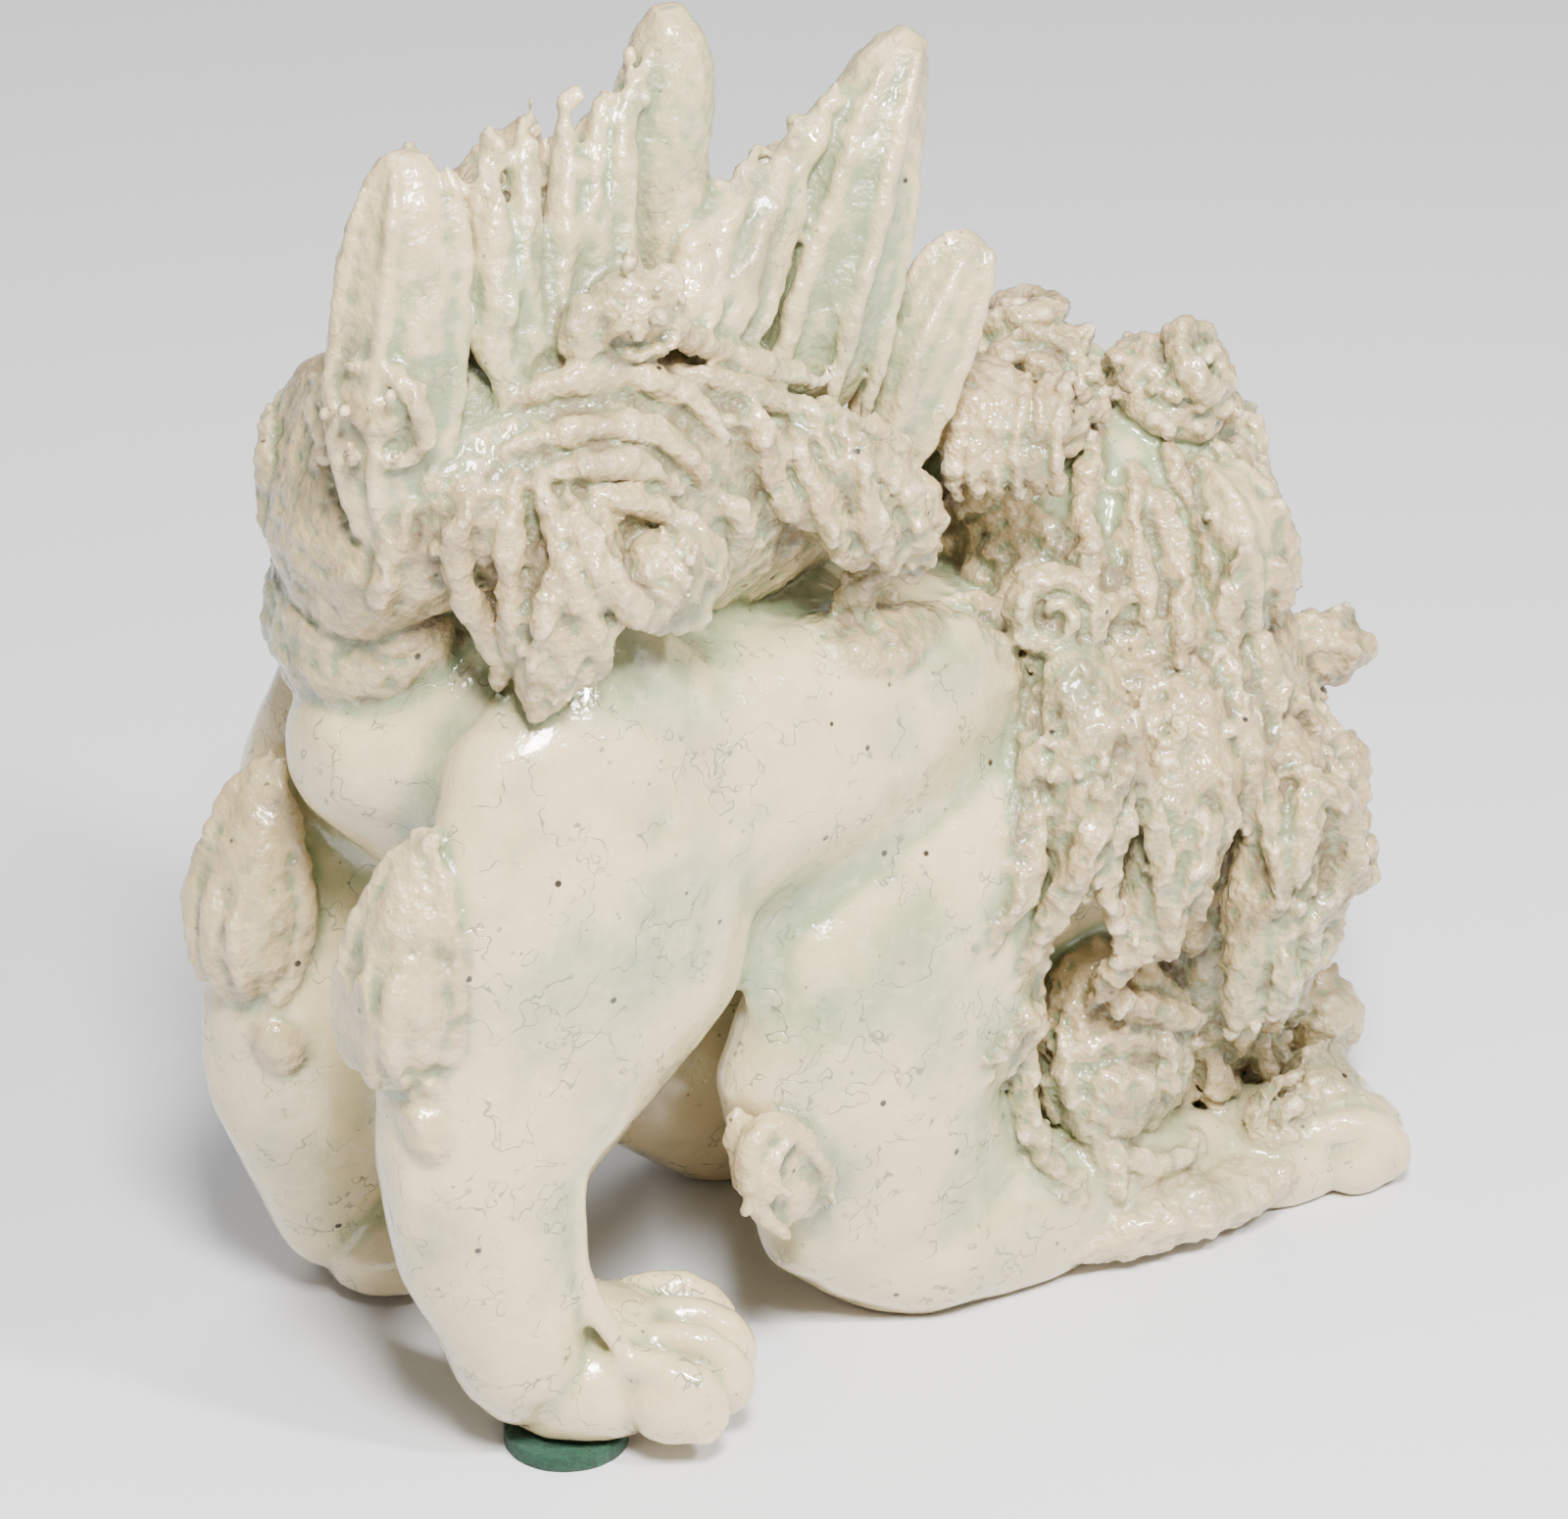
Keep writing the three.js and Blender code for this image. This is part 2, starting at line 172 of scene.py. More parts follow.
def smooth_line(points, count):
    """count + 1 points of a smooth line through the given rows, which may hold more than three numbers."""
    rows = np.array(points, float)
    if len(rows) == 2:
        rows = np.array([rows[0], (rows[0] + rows[1]) / 2, rows[1]])
    padded = np.vstack([2 * rows[0] - rows[1], rows, 2 * rows[-1] - rows[-2]])
    at = (1 - np.cos(np.linspace(0, math.pi, count + 1))) / 2 * (len(rows) - 1)
    k = np.minimum(at.astype(int), len(rows) - 2)
    f = (at - k)[:, None]
    a, b, c, d = (padded[k + i] for i in range(4))
    return 0.5 * (2 * b + (c - a) * f + (2 * a - 5 * b + 4 * c - d) * f**2 + (3 * b - a - 3 * c + d) * f**3)


def unit(rows):
    """The rows of an array, each made one long."""
    return rows / np.maximum(np.linalg.norm(rows, axis=-1, keepdims=True), 1e-12)


def set_ring(piece, ring):
    """Moves the ring that was drawn last to these points."""
    mesh = bmesh.from_edit_mesh(piece.data)
    mesh.verts.ensure_lookup_table()
    for vert, point in zip(mesh.verts[-len(ring):], ring):
        vert.co = point


def draw_out(node, rings):
    """Draws a roll of clay out from a disc, ring by ring."""
    bpy.ops.object.select_all(action="DESELECT")
    bpy.ops.mesh.primitive_circle_add(vertices=len(rings[0]), radius=MM, fill_type="NGON")
    piece = bpy.context.active_object
    bpy.ops.object.mode_set(mode="EDIT")
    set_ring(piece, rings[0])
    for ring in rings[1:]:
        bpy.ops.mesh.extrude_region_move()
        set_ring(piece, ring)
    bpy.ops.mesh.select_all(action="SELECT")
    bpy.ops.mesh.normals_make_consistent(inside=False)
    bpy.ops.object.mode_set(mode="OBJECT")
    return lay(node, piece)


def sweep(node, path, up, wide, thick, sides=10, flutes=0, depth=0.2, wobble=0.1, blunt=0.6, seed=0):
    """Draws a roll along a path in metres. up is its thick way at each ring; wide and thick are half sizes.
    flutes are ridges along it, and wobble is how uneven the hand left it."""
    count = len(path)
    along = unit(np.gradient(path, axis=0))
    across = unit(np.cross(up, along))
    lifted = np.cross(along, across)
    turn = np.linspace(0, 2 * math.pi, sides, endpoint=False)
    cap = np.sin(np.linspace(0, math.pi, count)) ** blunt
    cap[[0, -1]] = 0.08
    rings = []
    for i in range(count):
        at = Vector(path[i]) / MM
        girth = np.array([noise.noise(at * 0.35 + Vector((seed, 3 * math.cos(a), 3 * math.sin(a)))) for a in turn])
        radius = cap[i] * (1 + depth * np.cos(flutes * turn) * (flutes > 0) + wobble * 2 * girth)
        rings.append(
            path[i]
            + np.outer(np.cos(turn) * radius * wide[i], across[i])
            + np.outer(np.sin(turn) * radius * thick[i], lifted[i])
        )
    return draw_out(node, rings)


def roll(node, stations, side=(0, 1, 0), count=12, **shape):
    """A roll of clay along stations of x, y, z, half width and half thickness. Its width lies along side."""
    rows = smooth_line(stations, count)
    path = to_frame(rows)
    along = unit(np.gradient(path, axis=0))
    up = np.cross(along, np.array(side, float))
    return sweep(node, path, up, rows[:, 3] * MM, rows[:, 4] * MM, **shape)


def snapped(points, count, tree):
    """A smooth line that lies on the solids, and the way out of them along it."""
    path, up = [], []
    for point in to_frame(smooth_line([tuple(p)[:3] for p in points], count)):
        place, normal, _, _ = tree.find_nearest(Vector(point))
        path.append(place)
        up.append(normal)
    path, up = np.array(path), np.array(up)
    for _ in range(3):
        path[1:-1] = (path[:-2] + 2 * path[1:-1] + path[2:]) / 4
        up[1:-1] = (up[:-2] + up[1:-1] + up[2:]) / 3
    return path, unit(up)


def strand(node, points, wide, thick, ends=(0.5, 0.25), lift=0.3, rise=0.0, count=11, tree=None, **shape):
    """A ridge of clay pressed onto the solids along the points. ends is its share of the width at its
    start and end, lift how far it stands out as a share of its thickness, rise how far its tip lifts."""
    path, up = snapped(points, count, tree or tree_of())
    t = np.linspace(0, 1, len(path))
    swell = np.interp(t, [0, 0.3, 0.65, 1], [ends[0], 1, 1, ends[1]])
    path = path + up * (lift * thick + rise * t[:, None] ** 2) * MM
    return sweep(node, path, up, swell * wide * MM, swell * thick * MM, **shape)


def mirrored(points):
    """The same points on the lion's other side."""
    return [(p[0], -p[1], *p[2:]) for p in points]


def rounded(piece, voxel, passes, swell=0.0):
    """Kneads a solid's flat faces round, and lets it out by swell millimetres."""
    modify(piece, "REMESH", mode="VOXEL", voxel_size=voxel * MM)
    modify(piece, "SMOOTH", factor=0.5, iterations=passes)
    if swell:
        modify(piece, "DISPLACE", strength=swell * MM, mid_level=0)
    return piece


def copy_of(node, passes=10, swell=0.3, voxel=0.7):
    """A welded, kneaded copy of a CAD solid, on the bench as that node's clay."""
    piece = linked("copy", frame["nodes"][node].data.copy())
    alone(piece)
    bpy.ops.object.mode_set(mode="EDIT")
    bpy.ops.mesh.select_all(action="SELECT")
    bpy.ops.mesh.remove_doubles(threshold=1e-6)
    bpy.ops.object.mode_set(mode="OBJECT")
    piece.data.materials.clear()
    return lay(node, rounded(piece, voxel, passes, swell))


@functools.lru_cache(maxsize=None)
def crumb_shape():
    """The points and faces of one torn crumb of clay, 1 metre in radius."""
    bpy.ops.object.select_all(action="DESELECT")
    bpy.ops.mesh.primitive_ico_sphere_add(subdivisions=2, radius=1)
    piece = bpy.context.active_object
    points = np.array([v.co * (0.85 + 0.45 * noise.noise(v.co * 1.9)) for v in piece.data.vertices])
    faces = np.array([p.vertices[:] for p in piece.data.polygons])
    bpy.data.objects.remove(piece)
    return points, faces


def crumbs(node, points, count, size, spread, seed, tree=None):
    """Presses crumbs onto the solids, scattered within spread millimetres of a line."""
    dice = random.Random(seed)
    shape, sides = crumb_shape()
    line = smooth_line([tuple(p)[:3] for p in points], 40)
    verts = []
    for _ in range(count):
        near = Vector(dice.choice(list(line))) + Vector([dice.gauss(0, spread / 2) for _ in range(3)])
        place, normal, _, _ = (tree or tree_of()).find_nearest(Vector(to_frame([near])[0]))
        radius = size * dice.uniform(0.55, 1.3) * MM
        turn = Matrix.Rotation(dice.uniform(0, 2 * math.pi), 3, Vector([dice.gauss(0, 1) for _ in range(3)]))
        stretch = np.array([1, dice.uniform(0.5, 1), dice.uniform(0.7, 1.5)]) * radius
        verts.append(shape * stretch @ np.array(turn) + np.array(place + normal * radius * 0.45))
    mesh = bpy.data.meshes.new("crumbs")
    faces = np.vstack([sides + k * len(shape) for k in range(count)])
    mesh.from_pydata(np.vstack(verts).tolist(), [], faces.tolist())
    return lay(node, linked("crumbs", mesh))


def bench_middle(node):
    """The middle of a node's box, on the bench."""
    low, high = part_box(node)
    return ((low + high) / 2 - BENCH) / MM


def horn(node, stations, ridges, side=(0.82, -0.57, 0), blunt=0.42, seed=0):
    """A blunt plume along stations, with ridges drawn up it: angle, start, stop and half width of each.
    A ridge at -90 degrees is on the lion's right."""
    roll(node, stations, side=side, count=22, sides=20, wobble=0.05, blunt=blunt, seed=seed)
    rows = smooth_line(stations, 30)
    path, along = rows[:, :3], unit(np.gradient(rows[:, :3], axis=0))
    up = unit(np.cross(along, np.array(side, float)))
    across = np.cross(up, along)
    for number, (angle, start, stop, size) in enumerate(ridges):
        turn = math.radians(angle)
        t = np.linspace(start, stop, 9) * 30
        k = t.astype(int)
        skin = (path + across * rows[:, 3:4] * math.cos(turn) + up * rows[:, 4:5] * math.sin(turn))[k]
        size = np.interp(np.linspace(0, 1, 9), [0, 0.3, 0.8, 1], [0.7, 1, 0.8, 0.5]) * size
        ridge = np.column_stack([skin, size, size])
        roll(node, ridge, side=side, count=14, sides=8, wobble=0.22, seed=seed + number)


def snail(node, centre, outward, radius, turns, tube, rise=1.5, start=0.0, seed=0):
    """A curl rolled up like a snail, its middle standing proud along outward."""
    outward = Vector(outward).normalized()
    east = outward.orthogonal().normalized()
    north = outward.cross(east)
    place = tree_of().find_nearest(Vector(to_frame([centre])[0]))[0]
    centre = (place - BENCH) / MM + outward * 0.6
    count = int(12 * turns)
    rows = []
    for i in range(count + 1):
        t = i / count
        angle = start + turns * 2 * math.pi * t
        reach = radius * (1 - t) ** 0.8
        place = Vector(centre) + (east * math.cos(angle) + north * math.sin(angle)) * reach
        rows.append((*(place + outward * rise * t), tube * (1 - 0.35 * t), tube * (1 - 0.2 * t)))
    path = to_frame(rows)
    up = np.tile(np.array(outward), (len(rows), 1))
    girth = np.array(rows)[:, 3:]
    return sweep(node, path, up, girth[:, 0] * MM, girth[:, 1] * MM, sides=8, wobble=0.16, seed=seed)


def middle_of(node, along, stations=8):
    """The middle line of a CAD solid, in metres, at stations along a direction."""
    mesh = frame["nodes"][node].data
    co = np.array([v.co for v in mesh.vertices])
    tri = np.array([p.vertices[:3] for p in mesh.polygons])
    fine = np.vstack([co[tri].mean(1), co, (co[tri[:, 0]] + co[tri[:, 1]]) / 2, (co[tri[:, 1]] + co[tri[:, 2]]) / 2])
    along = np.array(Vector(along).normalized())
    east = np.array(Vector(along).orthogonal().normalized())
    north = np.cross(along, east)
    t = fine @ along
    cuts = np.linspace(t.min(), t.max(), stations + 1)
    line = []
    for low, high in zip(cuts[:-1], cuts[1:]):
        near = fine[(t >= low - MM) & (t <= high + MM)]
        u, v = near @ east, near @ north
        line.append(along * (low + high) / 2 + east * (u.min() + u.max()) / 2 + north * (v.min() + v.max()) / 2)
    return np.array(line)


def ribs(node, along, count, wide, thick, start=0.05, stop=0.8, phase=0.0, seed=0, **shape):
    """Ridges drawn up a plume or lock, all round it, from start to stop along its length."""
    dice = random.Random(seed)
    line = middle_of(node, along)
    along = Vector(along).normalized()
    east = (Vector((0, -1, 0)) - along * along.dot(Vector((0, -1, 0)))).normalized()
    north = along.cross(east)
    for k in range(count):
        angle = math.radians(phase) + 2 * math.pi * (k + dice.uniform(-0.2, 0.2)) / count
        end = stop * dice.uniform(0.8, 1.08)
        path, up = [], []
        for t in np.linspace(start + dice.uniform(0, 0.1), min(end, 0.97), 11):
            place = t * (len(line) - 1)
            i = min(int(place), len(line) - 2)
            middle = Vector(line[i] * (1 - place + i) + line[i + 1] * (place - i))
            out = east * math.cos(angle + 0.25 * t) + north * math.sin(angle + 0.25 * t)
            hit = tree_of(node).ray_cast(middle + out * 30 * MM, -out)
            if hit[0] is not None and (hit[0] - middle).length < 14 * MM:
                path.append(hit[0])
                up.append(out)
        if len(path) < 5:
            continue
        path, up = np.array(path), np.array(up)
        for _ in range(2):
            path[1:-1] = (path[:-2] + 2 * path[1:-1] + path[2:]) / 4
        t = np.linspace(0, 1, len(path))
        swell = np.interp(t, [0, 0.3, 1], [0.8, 1, 0.45]) * dice.uniform(0.75, 1.2)
        sweep(node, path + up * 0.15 * thick * MM, up, swell * wide * MM, swell * thick * MM,
              sides=8, seed=seed + k, **shape)


def flames(node, axis, angles, rows, per_row, length, wide, thick, seed, sway=0.35, rise=1.2, tree=None):
    """Rows of flame locks that hang down round an upright axis, from the top of it to its foot."""
    dice = random.Random(seed)
    line = smooth_line(axis, rows - 1) if rows > 1 else np.array(axis[:1], float)
    tree = tree or tree_of()
    for r in range(rows):
        centre = Vector(line[r][:3])
        for c in range(per_row):
            share = (c + 0.5 * (r % 2) + dice.uniform(-0.25, 0.25)) / per_row
            angle = math.radians(angles[0] + (angles[1] - angles[0]) * share)
            out = Vector((math.cos(angle), math.sin(angle), 0))
            origin = Vector(to_frame([centre + out * 60 + Vector((0, 0, dice.uniform(-2, 2)))])[0])
            hit, normal, _, _ = tree.ray_cast(origin, -out)
            if hit is None or (hit - Vector(to_frame([centre])[0])).length > 34 * MM:
                continue
            start = (hit - BENCH) / MM
            side = Vector((-out.y, out.x, 0)) * dice.uniform(-sway, sway)
            fall = (Vector((0, 0, -1)) + side).normalized()
            size = dice.uniform(0.75, 1.2)
            bend = Vector((-out.y, out.x, 0)) * dice.uniform(-2.2, 2.2)
            points = [start, start + fall * length * size * 0.5 + bend, start + fall * length * size]
            if points[-1].z < 1.5:
                continue
            strand(node, points, wide * size, thick * size, ends=(0.45, 0.2), rise=rise * size,
                   flutes=3 + c % 2, depth=0.16, wobble=0.14, seed=seed + 17 * r + c, count=9, tree=tree)


# ---- Properties ------------------------------------------------------------------------------------
class LionClay(PropertyGroup):
    """Sizes of the clay work."""

    skin_step: FloatProperty(
        name="Skin step", description="Spacing of the glazed skin's mesh",
        default=0.0004, min=0.0002, max=0.002, unit="LENGTH", precision=5)
    quick_step: FloatProperty(
        name="Quick skin step", description="Spacing of the skin's mesh while trying things",
        default=0.00055, min=0.0002, max=0.003, unit="LENGTH", precision=5)
    crumb: FloatProperty(
        name="Torn edge", description="How far the torn clay of the hair stands up",
        default=0.00042, min=0, max=0.002, unit="LENGTH", precision=5)
    dimple: FloatProperty(
        name="Hand marks", description="Depth of the hand's soft marks on the body",
        default=0.0005, min=0, max=0.003, unit="LENGTH", precision=5)
    seed: IntProperty(name="Seed", description="Changes the scatter of locks and crumbs", default=7, min=0)


class LionGlaze(PropertyGroup):
    """Colours of the finish."""

    cream: FloatVectorProperty(
        name="Cream", description="The glaze where it is thin", subtype="COLOR",
        default=(0.66, 0.53, 0.285), min=0, max=1)
    celadon: FloatVectorProperty(
        name="Celadon", description="The glaze where it has pooled", subtype="COLOR",
        default=(0.225, 0.30, 0.155), min=0, max=1)
    # Laid in the hair's hollows: partly toasted clay and crust, partly painted shade standing in for the shade that
    # falls there.
    toast_and_shade: FloatVectorProperty(
        name="Toasted clay", description="Clay that shows through in the hair's hollows", subtype="COLOR",
        default=(0.15, 0.088, 0.04), min=0, max=1)
    speck: FloatVectorProperty(
        name="Specks", description="Iron specks in the glaze", subtype="COLOR",
        default=(0.035, 0.025, 0.015), min=0, max=1)
    felt: FloatVectorProperty(
        name="Felt", description="The pads under the hind feet", subtype="COLOR",
        default=(0.002, 0.028, 0.012), min=0, max=1)


class LionStudio(PropertyGroup):
    """The stage."""

    lens: FloatProperty(name="Lens", description="Camera's focal length in millimetres", default=143.6, min=20)
    key_power: FloatProperty(name="Key light", description="Power of the key softbox", default=12.6, min=0,
                             unit="POWER")
    fill_power: FloatProperty(name="Fill light", description="Power of the fill softbox", default=0.45, min=0,
                              unit="POWER")
    backdrop: FloatVectorProperty(
        name="Backdrop", description="Floor and backdrop paint", subtype="COLOR",
        default=(0.70, 0.70, 0.71), min=0, max=1)


# ---- Operators: clay -------------------------------------------------------------------------------
class LION_OT_felt_pads(Operator):
    """Cuts the two felt pads under the hind feet"""

    bl_idname = "lion.felt_pads"
    bl_label = "Felt Pads"

    def execute(self, context):
        for number, (side, _) in enumerate(SIDES):
            node = f"felt_pad_{side}"
            low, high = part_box(node)
            centre, radius, depth = (low + high) / 2, (high.x - low.x) / 2, high.z - low.z
            turn = np.linspace(0, 2 * math.pi, 72, endpoint=False)
            frayed = np.array([noise.noise(Vector((4 * math.cos(a), 4 * math.sin(a), number))) for a in turn])
            rings = []
            for height, reach in ((0.0, 0.955), (0.06, 0.985), (0.5, 0.985), (0.94, 0.98), (1.0, 0.95)):
                edge = radius * (reach + 0.014 * frayed)
                rings.append(np.stack([centre.x + edge * np.cos(turn), centre.y + edge * np.sin(turn),
                                       np.full(len(turn), low.z + depth * height)], 1))
            pad = draw_out(node, rings)
            del pad["clay_of"]
            pad.name = f"cut_{node}"
            modify(pad, "BEVEL", width=0.05 * MM, segments=2, limit_method="ANGLE")
            bpy.ops.object.shade_smooth_by_angle(angle=math.radians(35))
            pad.data.materials.append(felt_material(context.scene.lion_glaze))
            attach(pad, BODY)
            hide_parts(node)
        return {"FINISHED"}


class LION_OT_body(Operator):
    """Lays the torso and the four legs, with the tendons drawn down them"""

    bl_idname = "lion.body"
    bl_label = "Body and Legs"

    crease = 3.0

    def execute(self, context):
        self.fill()
        copy_of("torso", passes=30, swell=0.45)
        for side, y in SIDES:
            copy_of(f"hind_leg_{side}", passes=26, swell=0.45)
            copy_of(f"foreleg_{side}", passes=26, swell=0.4)
            shin = [(-41, y * 25.5, 33), (-41, y * 26, 22), (-38, y * 26, 10)]
            strand(f"hind_leg_{side}", shin, 1.6, 1.1, ends=(0.2, 0.7), lift=-0.2, wobble=0.05)
            heel = [(-55, y * 17, 40), (-57, y * 17, 30), (-55, y * 17, 16)]
            strand(f"hind_leg_{side}", heel, 2.2, 1.6, ends=(0.7, 0.3), lift=-0.3, wobble=0.05)
            for x, lean in ((-6, 0), (-2.5, 0.6), (1.5, 1.2)):
                fold = [(x, y * 24, 30), (x - 1 + lean, y * 25, 20), (x + 1, y * 24, 9)]
                strand(f"foreleg_{side}", fold, 1.1, 0.6, ends=(0.3, 0.4), lift=-0.25, wobble=0.04)
        return {"FINISHED"}

    def fill(self):
        """Clay pressed into the creases between the torso and the legs; it belongs to no node."""
        parts = [copy_of(node, passes=6, swell=0.0, voxel=0.9) for node in NODES
                 if node == "torso" or node.startswith(("hind_leg", "foreleg"))]
        for side, y in SIDES:
            flank = [(-46, y * 13, 58, 10, 7), (-32, y * 16, 60, 13, 7.5), (-16, y * 16, 63, 13, 7),
                     (0, y * 14.5, 63, 12, 6.5), (14, y * 12, 60, 9, 6)]
            parts.append(roll("", flank, side=(0, 0, 1), count=14, sides=18, wobble=0.02, blunt=0.5))
        bpy.ops.object.select_all(action="DESELECT")
        for part in parts:
            part.select_set(True)
        bpy.context.view_layer.objects.active = parts[0]
        bpy.ops.object.join()
        fill = parts[0]
        for strength in (self.crease, -self.crease):
            modify(fill, "REMESH", mode="VOXEL", voxel_size=0.9 * MM)
            modify(fill, "SMOOTH", factor=0.5, iterations=6)
            modify(fill, "DISPLACE", strength=strength * MM, mid_level=0)
        modify(fill, "REMESH", mode="VOXEL", voxel_size=0.9 * MM)
        modify(fill, "SMOOTH", factor=0.5, iterations=14)
        lay("", fill)


class LION_OT_paws(Operator):
    """Lays the paws and rolls up their toes"""

    bl_idname = "lion.paws"
    bl_label = "Paws"

    hind = dict(node="hind_paw", x=-38.5, y=16.5, turn=38, length=11, width=9.5, height=7, floor=1.9)
    fore = dict(node="fore_paw", x=42, y=18.5, turn=8, length=9.5, width=8, height=6, floor=0)

    def toes(self, paw, side, y):
        node = f"{paw['node']}_toes_{side}"
        copy_of(node, passes=5, swell=0.1, voxel=0.6)
        ahead = Vector((math.cos(math.radians(paw["turn"])), y * math.sin(math.radians(paw["turn"])), 0))
        across = Vector((-ahead.y, ahead.x, 0))
        middle = Vector((paw["x"], y * paw["y"], 0))
        high = paw["height"]
        for k, share in enumerate((-0.78, -0.27, 0.27, 0.78)):
            reach = paw["length"] * (1 - 0.35 * share * share)
            spread = across * share * paw["width"] * 0.98
            rows = []
            for back, up, wide, thick in ((-9, 1.02, 1.4, 1.2), (-4, 1.22, 1.9, 1.9), (0.5, 1.12, 2.3, 2.3),
                                          (3.2, 0.72, 2.5, 2.3), (3.3, 0.34, 2.4, 1.9), (1.2, 0.2, 1.8, 1.4)):
                place = middle + ahead * (reach + back) + spread * (1 + 0.02 * back)
                rows.append((place.x, place.y, paw["floor"] + high * up, wide, thick))
            roll(node, rows, side=tuple(across), count=12, sides=10, wobble=0.13, seed=k + 9 * y)
            tip = middle + ahead * (reach + 4.2) + spread
            crumbs(node, [(tip.x, tip.y, paw["floor"] + high * 0.85), (tip.x, tip.y, paw["floor"] + high * 0.3)],
                   5, 0.75, 2.2, seed=k + 31, tree=tree_of(node))

    def execute(self, context):
        for paw in (self.hind, self.fore):
            for side, y in SIDES:
                copy_of(f"{paw['node']}_{side}", passes=12, swell=0.35)
                self.toes(paw, side, y)
        return {"FINISHED"}


class LION_OT_tufts(Operator):
    """Lays the flame tufts behind the hocks and the elbows"""

    bl_idname = "lion.tufts"
    bl_label = "Tufts"

    def execute(self, context):
        hocks = {"right": Vector((-56, -15.5, 41)), "left": Vector((-54.5, 14, 36))}
        for side, y in SIDES:
            node, foot = f"hock_tuft_{side}", hocks[side]
            copy_of(node, passes=8, swell=0.15)
            local = tree_of(node)

            def at(x, across, z):
                return foot + Vector((x, across, z))

            rim = [at(2, -3, 26), at(3, -6, 20), at(3, -8, 12), at(2.5, -7, 5), at(1, -4, 0)]
            strand(node, rim, 1.3, 1.3, ends=(0.7, 0.5), lift=0.4, tree=local, wobble=0.3, seed=3)
            crumbs(node, rim, 26, 0.8, 1.6, seed=5 + y, tree=local)
            rim = [at(-1, 2, 26), at(-5, 3, 18), at(-7, 4, 10), at(-6, 3, 3)]
            strand(node, rim, 1.1, 1.0, ends=(0.6, 0.4), lift=0.3, tree=local, wobble=0.2, seed=4)
            for k, lean in enumerate((-4.5, -1.2, 2.2)):
                groove = [at(-4, lean, 16), at(-6.5, lean - 0.5, 9), at(-4, lean, 2)]
                strand(node, groove, 1.2, 1.0, ends=(0.3, 0.7), lift=0.25, tree=local, wobble=0.15, seed=k)
            knob = [(*at(-1.5, -3, 1), 2.5, 2.5), (*at(0, -3.5, -3), 2.9, 2.7), (*at(2, -3, -6), 1.4, 1.4)]
            roll(node, knob, count=7, wobble=0.1)
        for side, y in SIDES:
            node = f"elbow_tuft_{side}"
            copy_of(node, passes=6, swell=-1.1)
            middle = bench_middle(node)
            along, across = Vector((0.45, 0, -0.9)), Vector((0.9, 0, 0.45))
            for reach, start, stop, size in ((1.0, 30, 330, 1.3), (0.45, 150, 290, 0.8)):
                rim = []
                for angle in range(start, stop + 1, 30):
                    turn = math.radians(angle)
                    rim.append(middle + (along * math.cos(turn) * 7.2 + across * math.sin(turn) * 4.2) * reach
                               + Vector((0, y * 2, 0)))
                strand(node, rim, size, size, ends=(0.6, 0.5), lift=-0.1, tree=tree_of(node), wobble=0.2, count=20,
                       seed=angle)
                crumbs(node, rim, 12, 0.6, 1.0, seed=8, tree=tree_of(node))
        return {"FINISHED"}


